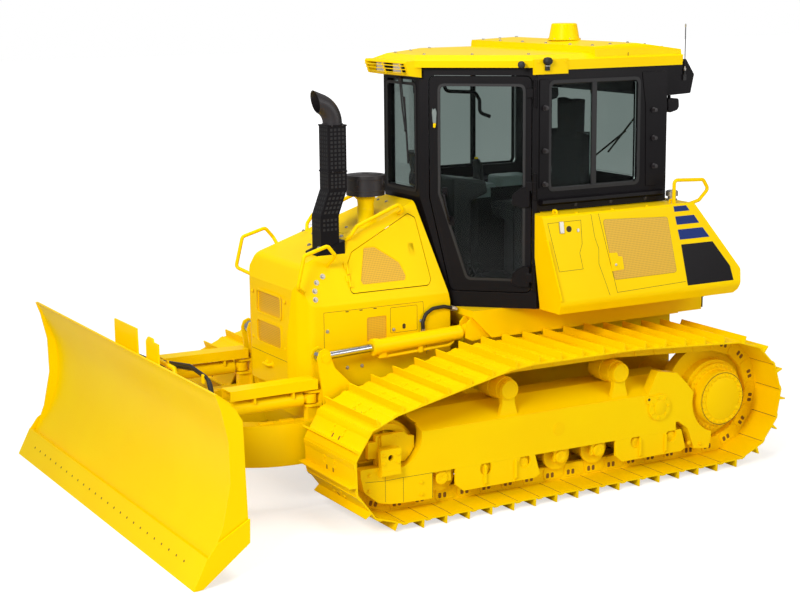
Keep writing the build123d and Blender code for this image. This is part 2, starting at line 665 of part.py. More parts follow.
def cover_solid(inset):
    """Outer form of the engine cover, drawn in by inset on every side but its base."""
    top = cover_top_at(COVER_REAR_TOP_X) - inset
    half = COVER_HALF - inset
    peak = cover_half_at(top + inset) - inset
    low = COVER_LOW_Z - (1 if inset else 0)
    crease, edge, corner = 40 - inset, 45 - inset, 70 - inset
    section = [(-half, low), (half, low), (half, COVER_CREASE_Z), (peak, top), (-peak, top),
               (-half, COVER_CREASE_Z)]
    body = cross_plate(section, -300, NOSE_X, {2: crease, 3: edge, 4: edge, 5: crease})
    body &= plan_plate(cover_plan(inset), 0, 3000,
                       {0: corner, 1: corner, 2: corner, 5: corner, 6: corner, 7: corner})
    rear = -300 if inset else 0
    top_x, low_x = COVER_REAR_TOP_X + rear, COVER_REAR_LOW_X + rear
    brow = NOSE_X - 75
    side = [(NOSE_X, low), (NOSE_X - inset, 1100), (NOSE_X - 18 - inset, 1420),
            (brow - inset, cover_top_at(brow) - inset),
            (top_x, cover_top_at(top_x) - inset), (low_x, 1250), (low_x, low)]
    return body & side_plate(side, -600, 600, {3: 75 - inset})


def grown(points, margin, radius=0):
    """The same outline pushed outward, or inward with a negative margin; its corners get a radius."""
    face = make_face(Polyline([(x, z) for x, z in points], close=True).edges())
    outline = offset(face, amount=margin, kind=Kind.INTERSECTION) if margin else face
    return fillet(outline.vertices(), radius + margin) if radius else outline


def side_cut(points, margin):
    """Prism through the left side of the cover from an XZ outline."""
    face = Plane.XZ * grown(points, margin, 22)
    return extrude(face, amount=700, dir=(0, 1, 0))


def lean_plane():
    """Plane on the cover's left leaning side: x forwards, y down the slope, z outwards."""
    lean = radians(COVER_LEAN)
    return Plane(origin=(0, COVER_HALF, COVER_CREASE_Z), x_dir=(1, 0, 0), z_dir=(0, cos(lean), sin(lean)))


def side_knuckle(up, forward):
    """Hinge knuckle on the leaning side with its leaf, which runs forwards or rearwards."""
    ends = [lean_plane().from_local_coords(Vector(SIDE_HINGE_X, -u, SIDE_HINGE_OUT))
            for u in (up, up + SIDE_KNUCKLE)]
    middle = Pos(SIDE_HINGE_X + forward * 11, -up - SIDE_KNUCKLE / 2, SIDE_HINGE_OUT / 2)
    leaf = lean_plane() * middle * Box(22, SIDE_KNUCKLE, SIDE_HINGE_OUT + 2)
    return rod(ends[0], ends[1], SIDE_HINGE_OUT - 1) + leaf


def make_cover():
    """Nose mask, hood and the two side doors, all cut from one shell."""
    shell = cover_solid(0) - cover_solid(COVER_WALL)
    door_cut = side_cut(SIDE_DOOR, DOOR_GAP)
    door = shell & side_cut(SIDE_DOOR, 0)
    door = door - (side_cut(SIDE_VENT, 0) - cover_solid(SIDE_VENT_DEPTH))
    for up in SIDE_HINGES_UP:
        door += side_knuckle(up, -1)
    shell = shell - door_cut - mirrored(door_cut)
    x0, x1, z0, z1 = LOW_VENT
    shell -= side_plate([(x0, z0), (x1, z0), (x1, z1), (x0, z1)], -600, 600, {0: 15, 1: 15, 2: 15, 3: 15})
    half = NOSE_VENT_HALF
    for z in NOSE_VENTS_Z:
        opening = [(-half, z), (half, z), (half, z + NOSE_VENT_HIGH), (-half, z + NOSE_VENT_HIGH)]
        shell -= cross_plate(opening, NOSE_X - 60, NOSE_X + 10, {0: 25, 1: 25, 2: 25, 3: 25})
    nose = shell & block(NOSE_SEAM_X, NOSE_X + 10, -600, 600, 0, 3000)
    hood = shell & block(-500, NOSE_SEAM_X - RUNNING_GAP, -600, 600, 0, 3000)
    for up in SIDE_HINGES_UP:
        knuckle = side_knuckle(up + SIDE_KNUCKLE + RUNNING_GAP, 1)
        hood = hood + knuckle + mirrored(knuckle)
    return nose, hood, door


def make_vent_screens():
    """Screens behind the cover's openings, one solid for each."""
    x0, x1, z0, z1 = LOW_VENT
    inside = COVER_HALF - COVER_WALL
    low = block(x0 - 10, x1 + 10, inside - 3.3, inside - 0.3, z0 - 10, z1 + 10)
    skin = cover_solid(COVER_WALL + RUNNING_GAP) - cover_solid(COVER_WALL + 3)
    half = NOSE_VENT_HALF + 10
    return both(low) + [skin & block(NOSE_X - 90, NOSE_X, -half, half, NOSE_VENTS_Z[0] - 10,
                                     NOSE_VENTS_Z[1] + NOSE_VENT_HIGH + 10)]


# ---- exhaust and precleaner -------------------------------------------------------
def make_exhaust():
    """Pipe in the sleeve and a wider bent outlet on top, hollow and cut on a slant at its mouth."""
    base = cover_top_at(EXHAUST_X) - 60
    upper = EXHAUST_X - EXHAUST_SHIFT
    turn = radians(OUTLET_TURN)
    corner = OUTLET_Z + OUTLET_FOOT + OUTLET_BEND * tan(turn / 2)
    reach = OUTLET_BEND * tan(turn / 2) + OUTLET_REACH
    end = (upper + reach * sin(turn), corner + reach * cos(turn))
    far = (end[0] + 2 * OUTLET_R * sin(turn), end[1] + 2 * OUTLET_R * cos(turn))
    outlet = [(upper, EXHAUST_Y, OUTLET_Z), (upper, EXHAUST_Y, corner), (far[0], EXHAUST_Y, far[1])]
    route = [(EXHAUST_X, EXHAUST_Y, base), (EXHAUST_X, EXHAUST_Y, 1890), (upper, EXHAUST_Y, 2063),
             (upper, EXHAUST_Y, OUTLET_Z + 5)]
    slant = radians(OUTLET_SLANT)
    across = (2 * OUTLET_R * sin(slant), 2 * OUTLET_R * cos(slant))
    mouth = [(end[0] - across[0], end[1] - across[1]), (end[0] + across[0], end[1] + across[1]),
             (end[0] + 400, end[1] + across[1]), (end[0] + 400, end[1] - across[1])]
    stack = pipe(route, EXHAUST_R, 110) + pipe(outlet, OUTLET_R, OUTLET_BEND)
    bore = pipe(outlet, OUTLET_R - OUTLET_WALL, OUTLET_BEND) - block(0, 2000, 0, 600, 0, OUTLET_Z + 20)
    return stack - bore - side_plate(mouth, 0, 600) - cover_solid(0)


def make_exhaust_guard():
    """Square sleeve round the pipe on a flange: an upright run, a slanted one and the upper run."""
    half, wall, over = SLEEVE_HALF, 4, 20
    base = cover_top_at(EXHAUST_X) - 60
    levels = [(base, 0), (1890, 0), (2063, -EXHAUST_SHIFT), (2496, -EXHAUST_SHIFT)]
    outer = sleeve_outline(levels, half, 0)
    core = sleeve_outline(levels, half - wall, over)
    sleeve = side_plate(outer, EXHAUST_Y - half, EXHAUST_Y + half)
    for z in (2180, 2486):
        rim = half + 4
        x = EXHAUST_X - EXHAUST_SHIFT
        sleeve += block(x - rim, x + rim, EXHAUST_Y - rim, EXHAUST_Y + rim, z, z + 10)
    x0, x1 = EXHAUST_X - 105, EXHAUST_X + 105
    flange = [(x0, cover_top_at(x0) + 14), (x1, cover_top_at(x1) + 14), (x1, base), (x0, base)]
    sleeve += side_plate(flange, EXHAUST_Y - 98, EXHAUST_Y + 80)
    sleeve -= side_plate(core, EXHAUST_Y - half + wall, EXHAUST_Y + half - wall)
    return sleeve - cover_solid(0)


def sleeve_outline(levels, half, over):
    """XZ outline of the sleeve at half a width, run past both ends by over."""
    ends = [(levels[0][0] - over, levels[0][1])] + levels[1:-1] + [(levels[-1][0] + over, levels[-1][1])]
    front = [(EXHAUST_X + shift + half, z) for z, shift in ends]
    rear = [(EXHAUST_X + shift - half, z) for z, shift in reversed(ends)]
    return front + rear


def make_precleaner():
    """Drum with a lid on a bent neck from the hood."""
    x, y, low = PRECLEANER_X, PRECLEANER_Y, PRECLEANER_LOW_Z
    neck = pipe([(430, 205, cover_top_at(430) - 60), (x, y, 1870), (x, y, low - RUNNING_GAP)], NECK_R, 95)
    flare = Pos(x, y, low - RUNNING_GAP) * Cone(NECK_R - 2, NECK_R + 7, 75,
                                                align=(Align.CENTER, Align.CENTER, Align.MAX))
    drum = (Pos(x, y, low + 60) * Cylinder(PRECLEANER_R, 120)
            + Pos(x, y, low + 126) * Cylinder(PRECLEANER_R + 5, 28))
    return (neck + flare) - cover_solid(0), drum


# ---- cab -----------------------------------------------------------------------------
def cab_plan(inset):
    """Six-sided plan of the cab, front first, drawn in by inset."""
    run, rise = CAB_FRONT_X - CAB_PILLAR_X, CAB_HALF - CAB_FRONT_HALF
    length = hypot(run, rise)
    slope = rise / run
    nudge = inset * length / run
    front = CAB_FRONT_X - inset
    half = CAB_HALF - inset
    side_front = CAB_PILLAR_X + (nudge - inset) / slope * -1
    front_half = CAB_FRONT_HALF + inset * slope - nudge
    rear = CAB_REAR_X + inset
    return [(front, -front_half), (front, front_half), (side_front, half), (rear, half),
            (rear, -half), (side_front, -half)]


def cab_solid(inset):
    """Outer form of the cab, drawn in by inset."""
    low, top = CAB_LOW_Z + inset, CAB_TOP_Z - inset
    body = plan_plate(cab_plan(inset), low, top)
    front = CAB_FRONT_X - inset
    lean = (CAB_FRONT_X - CAB_TOE_X) / (CAB_KNEE_Z - 1306)
    toe = front - (CAB_KNEE_Z - low) * lean
    side = [(front, top), (front, CAB_KNEE_Z), (toe, low), (CAB_REAR_X + inset, low),
            (CAB_REAR_X + inset, top)]
    body &= side_plate(side, -900, 900)
    for s in (-1, 1):
        body -= block(CAB_REAR_X - 10, -606 + inset, s * (TANK_INNER_Y - CLEAR - inset), s * 900,
                      CAB_LOW_Z - 10, CAB_SILL_Z + inset)
    return body


def door_plane():
    """Plane on the outside of the left angled side: x rearwards, y up, z outwards."""
    along = Vector(CAB_PILLAR_X - CAB_FRONT_X, CAB_HALF - CAB_FRONT_HALF, 0).normalized()
    outward = along.cross(Vector(0, 0, 1))
    return Plane(origin=(CAB_FRONT_X, CAB_FRONT_HALF, 0), x_dir=along, z_dir=outward)


def door_prism(points, margin, out, deep, radius=0):
    """Prism through the door side from out to deep, both measured outwards."""
    face = door_plane() * grown(points, margin, radius)
    normal = door_plane().z_dir
    start = face.moved(Location(normal * deep))
    return extrude(start, amount=out - deep, dir=normal)


def window_plate(margin, y0, y1):
    """Prism of the side window's outline, drawn in by margin, from y0 to y1."""
    x0, x1, z0, z1 = SIDE_WINDOW
    corners = [(x0 + margin, z0 + margin), (x1 - margin, z0 + margin), (x1 - margin, z1 - margin),
               (x0 + margin, z1 - margin)]
    return side_plate(corners, y0, y1, {i: WINDOW_CORNER - margin for i in range(4)})


def make_cab_frame():
    """Posts, sills, floor pan and rear wall of the cab, open at its doors and windows."""
    cab = cab_solid(0) - cab_solid(CAB_WALL)
    opening = door_prism(DOOR_OUTLINE, CLEAR, 60, -140, DOOR_CORNER)
    cab = cab - opening - mirrored(opening)
    cab -= block(CAB_FRONT_X - 90, CAB_FRONT_X + 10, -195, 195, CAB_KNEE_Z + 60, CAB_TOP_Z - 90)
    cab -= window_plate(0, -900, 900)
    cab -= block(CAB_REAR_X - 10, CAB_REAR_X + 100, -620, 620, SIDE_WINDOW[2], SIDE_WINDOW[3] - 120)
    for knuckle in cab_knuckles():
        cab = cab + knuckle + mirrored(knuckle)
    return cab


def cab_knuckles():
    """Hinge knuckles on the left corner post, one over and one under each door knuckle."""
    knuckles = []
    for z in DOOR_HINGES_Z:
        for side in (-1, 1):
            middle = z + side * (KNUCKLE + RUNNING_GAP)
            tab = [(DOOR_OUTLINE[3][0] + 10, middle - KNUCKLE / 2),
                   (DOOR_OUTLINE[3][0] + 10, middle + KNUCKLE / 2),
                   (DOOR_HINGE_U, middle + KNUCKLE / 2), (DOOR_HINGE_U, middle - KNUCKLE / 2)]
            barrel = Pos(*door_hinge_xy(), middle) * Cylinder(14, KNUCKLE)
            knuckles.append(barrel + door_prism(tab, 0, DOOR_HINGE_OUT + 6, -3))
    return knuckles


def make_cab_windows():
    """Fixed panes: windshield, two sliding panes on each side and the rear pane."""
    x = CAB_FRONT_X - 25
    g = RUNNING_GAP
    panes = [block(x - GLASS, x, g - 195, 195 - g, CAB_KNEE_Z + 60 + g, CAB_TOP_Z - 90 - g)]
    x0, x1, z0, z1 = SIDE_WINDOW
    middle = (x0 + x1) / 2
    y = CAB_HALF - 22
    hole = window_plate(g, 0, 900)
    panes += both(block(x0, middle + 14, y - 2 * GLASS - 2, y - GLASS - 2, z0, z1) & hole)
    panes += both(block(middle - 14, x1, y - GLASS, y, z0, z1) & hole)
    x = CAB_REAR_X + 25
    panes.append(block(x, x + GLASS, g - 620, 620 - g, z0 + g, z1 - 120 - g))
    return panes


def make_door():
    """Left door leaf and its pane."""
    leaf = door_prism(DOOR_OUTLINE, 0, 0, -DOOR_THICK, DOOR_CORNER)
    leaf -= door_prism(DOOR_GLASS, 0, 10, -DOOR_THICK - 10, DOOR_CORNER)
    pane = door_prism(DOOR_GLASS, -RUNNING_GAP, -10, -10 - GLASS, DOOR_CORNER)
    for z in DOOR_HINGES_Z:
        low, high = z - KNUCKLE / 2, z + KNUCKLE / 2
        arm = door_prism([(740, low), (740, high), (DOOR_HINGE_U, high), (DOOR_HINGE_U, low)], 0,
                         DOOR_HINGE_OUT + 6, 8)
        arm += door_prism([(740, low), (740, high), (768, high), (768, low)], 0, 9, -1)
        leaf += arm + Pos(*door_hinge_xy(), z) * Cylinder(14, KNUCKLE)
    return leaf, pane


def door_hinge_xy():
    """Where the left door's hinge line stands."""
    point = door_plane().from_local_coords(Vector(DOOR_HINGE_U, 0, DOOR_HINGE_OUT))
    return point.X, point.Y


def make_roof():
    """Yellow roof: a low front part, a raised rear deck, side skirts and a lamp bracket on the left."""
    low, edge = CAB_TOP_Z + RUNNING_GAP, CAB_TOP_Z + 45
    plan = [(CAB_FRONT_X + 60, -290), (CAB_FRONT_X + 60, 290), (CAB_PILLAR_X + 30, 830), (ROOF_REAR_X, 830),
            (ROOF_REAR_X, -830), (CAB_PILLAR_X + 30, -830)]
    rim = plan_plate(plan, low, edge, {i: 30 for i in range(6)})
    inner = [(x - 60 if x > 0 else x + 60 if x < -1000 else x - 20, y - 90 if y > 0 else y + 90)
             for x, y in plan]
    top = loft([make_face(Polyline([(x, y, edge) for x, y in plan], close=True).edges()),
                make_face(Polyline([(x, y, ROOF_TOP_Z) for x, y in inner], close=True).edges())])
    rear = [(ROOF_DECK_X, ROOF_TOP_Z - 30), (ROOF_DECK_X, ROOF_DECK_Z - 14),
            (ROOF_DECK_X - 380, ROOF_DECK_Z),
            (ROOF_REAR_X + 10, ROOF_DECK_Z - 52), (ROOF_REAR_X + 10, edge - 20)]
    width = [(-812, low + 10), (812, low + 10), (790, ROOF_DECK_Z), (-790, ROOF_DECK_Z)]
    deck = side_plate(rear, -820, 820) & cross_plate(width, ROOF_REAR_X, ROOF_DECK_X + 10, {2: 45, 3: 45})
    roof = rim + top + deck
    for side in (-1, 1):
        roof += block(ROOF_REAR_X + 20, CAB_PILLAR_X - 20, side * (CAB_HALF + 8), side * 830,
                      CAB_TOP_Z - 20, edge - 5)
    return roof + block(-807, -529, 818, 834, 2804, 2905)


def add_visor(roof):
    """Adds the hooded lamp box over the windshield, open to the front."""
    x0, x1 = CAB_FRONT_X + 4, CAB_FRONT_X + 130
    outline = [(x0, CAB_TOP_Z - 70), (x1 - 30, CAB_TOP_Z - 55), (x1, CAB_TOP_Z + 30),
               (x1 - 10, CAB_TOP_Z + 44),
               (x0, CAB_TOP_Z + 44)]
    hole = [(x0 + 8, CAB_TOP_Z - 58), (x1 - 38, CAB_TOP_Z - 46), (x1 + 20, CAB_TOP_Z - 30),
            (x1 + 20, CAB_TOP_Z + 24), (x0 + 8, CAB_TOP_Z + 34)]
    return roof + side_plate(outline, -290, 290) - side_plate(hole, -262, 262)


def make_front_lamps():
    """Two round lamps on feet inside the visor."""
    z = CAB_TOP_Z - 12
    floor = cross_plate([(-200, z - 70), (200, z - 70), (200, CAB_TOP_Z), (-200, CAB_TOP_Z)], -100, 300)
    floor &= side_plate([(CAB_FRONT_X + 12, CAB_TOP_Z - 57.7), (CAB_FRONT_X + 92, CAB_TOP_Z - 45.7),
                         (CAB_FRONT_X + 92, CAB_TOP_Z), (CAB_FRONT_X + 12, CAB_TOP_Z)], -300, 300)
    lamps = []
    for y in (-120, 120):
        lamp = rod((CAB_FRONT_X + 30, y, z), (CAB_FRONT_X + 95, y, z), 30)
        foot = block(CAB_FRONT_X + 40, CAB_FRONT_X + 60, y - 8, y + 8, z - 60, z - 20) & floor
        lamps.append(lamp + foot)
    return lamps


def make_cab_rear_box():
    """Black housing that overhangs behind the cab, under the roof's rear edge."""
    x0, roof = CAB_REAR_X - RUNNING_GAP, ROOF_REAR_X - CLEAR
    outline = [(x0, CAB_TOP_Z), (roof, CAB_TOP_Z), (roof, CAB_TOP_Z + 6), (-1925, 2860), (-2000, 2750),
               (-1970, 2616),
               (x0, 2604)]
    return side_plate(outline, -700, 700, {3: 12, 4: 12, 5: 12})


def make_dome():
    """Tapered receiver housing with a round top on the roof's deck."""
    low = ROOF_DECK_Z + RUNNING_GAP
    dome = Pos(DOME_X, 0, low) * Cone(114, 92, DOME_TOP_Z - low,
                                      align=(Align.CENTER, Align.CENTER, Align.MIN))
    dome = fillet(dome.edges().group_by(Axis.Z)[-1], 14)
    return dome + Pos(DOME_X, 0, low) * Cylinder(122, 10, align=(Align.CENTER, Align.CENTER, Align.MIN))


def make_antenna():
    """Whip aerial on the left end of the rear housing."""
    x, y, low = -1905.0, 700 + RUNNING_GAP, 2740.0
    foot = block(x - 14, x + 14, y, y + 12, low - 30, low + 10)
    return (foot + rod((x, y + 8, low), (x, y + 8, low + 40), 8)
            + rod((x, y + 8, low + 39), (x, y + 8, DOME_TOP_Z - 2), 3.5))


# ---- inside the cab ---------------------------------------------------------------------
def make_seat():
    """Suspension base, cushion and back with its headrest."""
    x, seat_z = SEAT_X, 1692.0
    base = block(x + 40, x + 400, -210, 210, FLOOR_Z + RUNNING_GAP, seat_z - RUNNING_GAP)
    base += (block(x - 80, x + 50, -60, 60, 1600, 1660)
             + block(x - 80, x - 40, -60, 60, 1640, 1760 - RUNNING_GAP))
    cushion = block(x, x + 500, -250, 250, seat_z, seat_z + 120)
    back = block(x - 100, x - RUNNING_GAP, -240, 240, 1760, 2330)
    back += block(x - 85, x - 15, -140, 140, 2320, 2580)
    return base, cushion, back


def make_consoles():
    """Side consoles with their levers, and the front dash post."""
    low = FLOOR_Z + RUNNING_GAP
    left = block(-1300, -860, 330, 520, low, 1900) + rod((-940, 420, 1890), (-920, 420, 2060), 22)
    right = block(-1300, -820, -540, -330, low, 1900) + rod((-920, -440, 1890), (-900, -440, 2080), 22)
    dash = side_plate([(-330, low), (-480, low), (-480, 1880), (-620, 1930), (-600, 2020),
                       (-330, 2060)], -170, 130)
    return left, right, dash


# ---- tanks, cowl and fan -----------------------------------------------------------------
def make_tank():
    """Left tank and battery box, leaning out to a rounded lower edge."""
    section = [(TANK_INNER_Y, TANK_LOW_Z), (TANK_LOW_Y, TANK_LOW_Z), (TANK_CREASE_Y, TANK_CREASE_Z),
               (TANK_TOP_Y, TANK_TOP_Z), (TANK_INNER_Y, TANK_TOP_Z)]
    tank = cross_plate(section, TANK_REAR_X - 20, TANK_FRONT_TOP_X, {2: 60, 3: 25})
    side = [(TANK_FRONT_TOP_X, TANK_TOP_Z + 1), (TANK_REAR_TOP_X, TANK_TOP_Z + 1), (TANK_REAR_X - 15, 1376),
            (TANK_REAR_X, 1225), (TANK_REAR_X + 30, TANK_LOW_Z - 1), (TANK_FRONT_LOW_X, TANK_LOW_Z - 1)]
    tank &= side_plate(side, 0, 1200, {1: 40, 2: 40, 3: 20})
    plan = [(TANK_FRONT_TOP_X, 895), (TANK_FRONT_TOP_X, 1200), (-2300, 1200), (-2300, TANK_INNER_Y),
            (-612, TANK_INNER_Y), (-612, CAB_HALF + 14), (-545, CAB_HALF + 30)]
    return tank & plan_plate(plan, 1000, 2000)


def cowl_solid(inset):
    """Outer form of the housing between the tanks, drawn in by inset."""
    low = DECK_LOW_Z + 2 + RUNNING_GAP + inset
    step = DECK_TOP_Z + RUNNING_GAP + inset
    side = [(COWL_FRONT_X - inset, TANK_TOP_Z - inset), (TANK_REAR_TOP_X, TANK_TOP_Z - inset),
            (COWL_REAR_X + inset, COWL_BEND_Z - inset), (COWL_REAR_X + inset, low),
            (-1952, low), (-1952, step), (COWL_FRONT_X - inset, step)]
    return side_plate(side, -COWL_HALF + inset, COWL_HALF - inset)


def make_cowl():
    """Housing of the radiator and fan between the tanks, open to the rear."""
    cowl = cowl_solid(0) - cowl_solid(COWL_WALL)
    cowl -= block(COWL_REAR_X - 10, COWL_REAR_X + 60, -560, 560, DECK_LOW_Z + 40, COWL_BEND_Z - 40)
    wall = block(-2020, -2010, -COWL_HALF + 2, COWL_HALF - 2, DECK_LOW_Z + 6, COWL_BEND_Z + 80)
    cowl += wall
    for y in (-400, 400):
        for side in (-1, 1):
            near, far = y + side * (50 + RUNNING_GAP), y + side * 90
            cowl += disc_y(GRILLE_HINGE_X, GRILLE_HINGE_Z, 12, near, far)
            cowl += block(GRILLE_HINGE_X, COWL_REAR_X + 4, near, far, COWL_BEND_Z - 5, COWL_BEND_Z + 4)
    cowl += rod((-2015, 0, FAN_Z), (-2050, 0, FAN_Z), 60)
    return cowl


def make_fan():
    """Cooling fan: hub and seven pitched blades."""
    hub = rod((-2050 - RUNNING_GAP, 0, FAN_Z), (-2120, 0, FAN_Z), 62)
    blades = []
    for i in range(7):
        blade = Pos(0, 0, (FAN_R + 50) / 2) * Rot(0, 0, 35) * Box(8, 82, FAN_R - 50)
        blades.append(Pos(-2088, 0, FAN_Z) * Rot(i * 360 / 7, 0, 0) * blade)
    fan = hub
    for blade in blades:
        fan += blade
    return fan


def make_rear_grille():
    """Rear door with upright bars; it hinges along its top edge."""
    x0, x1 = COWL_REAR_X - 8, COWL_REAR_X - 34
    grille = block(x1, x0, -600, 600, DECK_LOW_Z + 10, COWL_BEND_Z - 12)
    grille -= block(x1 - 5, x0 + 5, -540, 540, DECK_LOW_Z + 60, COWL_BEND_Z - 62)
    for i in range(1, 16):
        y = -540 + i * 1080 / 16
        grille += block(x1 + 6, x0 - 6, y - 6, y + 6, DECK_LOW_Z + 58, COWL_BEND_Z - 60)
    for y in (-400, 400):
        grille += rod((GRILLE_HINGE_X, y - 50, GRILLE_HINGE_Z),
                      (GRILLE_HINGE_X, y + 50, GRILLE_HINGE_Z), 12)
        grille += block(x1, GRILLE_HINGE_X, y - 50, y + 50, COWL_BEND_Z - 13, GRILLE_HINGE_Z + 8)
    return grille


# ---- steps, rails ---------------------------------------------------------------------
RAIL_TABLE = (           # left rails: points of each bent tube
    [(985, 380, 1400), (1090, 488, 1462), (1035, 488, 1672), (860, 484, 1722), (800, 478, 1650),
     (800, 330, 1548)],
    [(640, 270, 1690), (605, 330, 1752), (560, 332, 1810), (230, 322, 1932), (190, 318, 1890),
     (190, 225, 1850)],
    [(-1655, 930, 1845), (-1655, 930, 2032), (-1915, 930, 2020), (-1960, 930, 1950), (-1880, 930, 1875),
     (-1770, 930, 1850)],
)


def make_handrails():
    """Bent tube rails on the nose, along the hood and on the tank, on both sides."""
    rails = []
    solids = cover_solid(0) + make_tank()
    for points in RAIL_TABLE:
        rails += both(pipe(points, 13, 28) - solids)
    return rails


# ---- blade frame ------------------------------------------------------------------------
def make_arm(side):
    """One arm of the frame with its pivot bore."""
    arm = [(FRAME_PIVOT_X - 75, FRAME_PIVOT_Z - 60), (FRAME_PIVOT_X - 75, FRAME_PIVOT_Z + 60),
           (FRAME_PIVOT_X + 60, FRAME_PIVOT_Z + 90), (BOW_CENTRE_X - 400, ARM_TOP_Z),
           (BOW_CENTRE_X, ARM_TOP_Z),
           (BOW_CENTRE_X, ARM_LOW_Z), (BOW_CENTRE_X - 400, ARM_LOW_Z + 10),
           (FRAME_PIVOT_X + 60, FRAME_PIVOT_Z - 90)]
    plate = side_plate(arm, side * ARM_INNER_Y, side * ARM_OUTER_Y)
    bore = disc_y(FRAME_PIVOT_X, FRAME_PIVOT_Z, FRAME_PIN_R + PIN_GAP, side * (ARM_INNER_Y - 1),
                  side * (ARM_OUTER_Y + 1))
    return plate - bore


def make_lift_lug(side):
    """Two upright plates beside the lift rod's eye with the heads of its pin, on a foot on the arm."""
    x, z = LIFT_EYE_X, LIFT_EYE_Z
    lug = [(x + 60, z), (x + 42, z + 45), (x, z + 62), (x - 34, z + 38), (x - 46, z - 20), (x - 66, z - 75),
           (790, 830), (600, 640), (560, ARM_TOP_Z - 10), (960, ARM_TOP_Z - 10), (985, 800)]
    inner, outer = LIFT_Y - EYE_HALF - 28, LIFT_Y + EYE_HALF + 26
    plates = (side_plate(lug, side * inner, side * (inner + 16))
              + side_plate(lug, side * (outer - 16), side * outer))
    foot = [(880, 640), (880, 840), (760, 760), (700, ARM_TOP_Z - 10), (880, ARM_TOP_Z - 10)]
    heads = []
    for y in (inner - 10, outer):
        heads.append(disc_y(x, z, LIFT_PIN_R + 8, side * y, side * (y + 10)))
    return plates + heads + side_plate(foot, side * inner, side * outer)


def make_angle_mount(side):
    """Upright pin between two ears for an angle cylinder's rear eye."""
    x, y = ANGLE_MOUNT_X, side * ANGLE_MOUNT_Y
    half, thick = 48, 16
    low, high = ANGLE_Z - EYE_HALF - 8 - thick, ANGLE_Z + EYE_HALF + 8
    back = block(x - half - 22, x - half - 8, y - half, y + half, ARM_TOP_Z - 10, high + thick)
    mount = back + rod((x, y, low), (x, y, high + thick), ANGLE_PIN_R)
    for z in (low, high):
        mount += (rod((x, y, z), (x, y, z + thick), half)
                  + block(x - half - 10, x, y - half, y + half, z, z + thick))
    return mount + block(x - half - 10, x + 30, y - 30, y + 30, ARM_TOP_Z - 10, low + 4)


def make_c_frame():
    """Two arms and the bow between them, cylinder mounts and the fork that holds the swivel."""
    ring = Pos(BOW_CENTRE_X, 0, (ARM_LOW_Z + ARM_TOP_Z) / 2) * (
        Cylinder(ARM_OUTER_Y, ARM_TOP_Z - ARM_LOW_Z) - Cylinder(ARM_INNER_Y, ARM_TOP_Z))
    frame = ring & block(BOW_CENTRE_X, BOW_CENTRE_X + 700, -700, 700, 0, 1000)
    for side in (-1, 1):
        frame += make_arm(side) + make_lift_lug(side) + make_angle_mount(side)
    for z0, z1 in ((FORK_LOW_Z, FORK_LOW_Z + 34), (FORK_TOP_Z - 34, FORK_TOP_Z)):
        frame += block(BOW_CENTRE_X + ARM_INNER_Y + 40, SWIVEL_X, -LUG_R, LUG_R, z0, z1)
        frame += rod((SWIVEL_X, 0, z0), (SWIVEL_X, 0, z1), LUG_R)
    return frame + rod((SWIVEL_X, 0, FORK_LOW_Z), (SWIVEL_X, 0, FORK_TOP_Z), SWIVEL_PIN_R)


def make_swivel():
    """Block that turns on the fork's pin; its shaft carries the blade, its post the tilt cylinder."""
    low, high = FORK_LOW_Z + 34 + CLEAR, FORK_TOP_Z - 34 - CLEAR
    face = TILT_X - EYE_HALF - RUNNING_GAP
    back = SWIVEL_X + LUG_R + CLEAR
    block_part = Pos(SWIVEL_X, 0, (low + high) / 2) * Cylinder(LUG_R, high - low)
    block_part += block(SWIVEL_X, face, -LUG_R, LUG_R, low, high)
    block_part += rod((SWIVEL_X + 60, 0, SWIVEL_Z), (BLADE_DEEP_X - 18, 0, SWIVEL_Z), TILT_SHAFT_R)
    block_part += block(back, face, -60, 60, high - 5, TILT_Z + 60)
    block_part += rod((back + 1, 0, TILT_Z), (TILT_X + EYE_HALF + 8, 0, TILT_Z), ANGLE_PIN_R)
    return block_part - rod((SWIVEL_X, 0, 0), (SWIVEL_X, 0, 1000), SWIVEL_PIN_R + PIN_GAP)


# ---- blade -------------------------------------------------------------------------------
def mouldboard_face():
    """Closed XZ outline between the concave front and its offset back."""
    top, low = BLADE_HEIGHT, EDGE_HEIGHT
    front = ThreePointArc((BLADE_TOP_X, 0, top), (BLADE_DEEP_X, 0, BLADE_DEEP_Z), (BLADE_LOW_X, 0, low))
    back = ThreePointArc((BLADE_TOP_X - MOULDBOARD, 0, top), (BLADE_DEEP_X - MOULDBOARD, 0, BLADE_DEEP_Z),
                         (BLADE_LOW_X - MOULDBOARD, 0, low))
    ends = [Line(front @ 0, back @ 0), Line(front @ 1, back @ 1)]
    return make_face([front, back] + ends)


def behind_board(half):
    """Space behind the middle of the mouldboard's thickness, where its ribs lie."""
    shift = MOULDBOARD / 2
    arc = ThreePointArc((BLADE_TOP_X - shift, 0, BLADE_HEIGHT), (BLADE_DEEP_X - shift, 0, BLADE_DEEP_Z),
                        (BLADE_LOW_X - shift, 0, EDGE_HEIGHT))
    edge = Polyline(arc @ 1, (1900, 0, EDGE_HEIGHT), (1900, 0, BLADE_HEIGHT), arc @ 0)
    face = make_face([arc] + list(edge.edges()))
    return extrude(face.moved(Location((0, -half, 0))), amount=2 * half, dir=(0, 1, 0))


def front_edge_x(z):
    """X of the side plate's front edge, a shallower curve than the mouldboard's."""
    t = (z - EDGE_HEIGHT) / (BLADE_HEIGHT - EDGE_HEIGHT)
    sag = 4 * t * (1 - t) * 110
    return BLADE_LOW_X - 10 + (BLADE_TOP_X - BLADE_LOW_X + 12) * t - sag


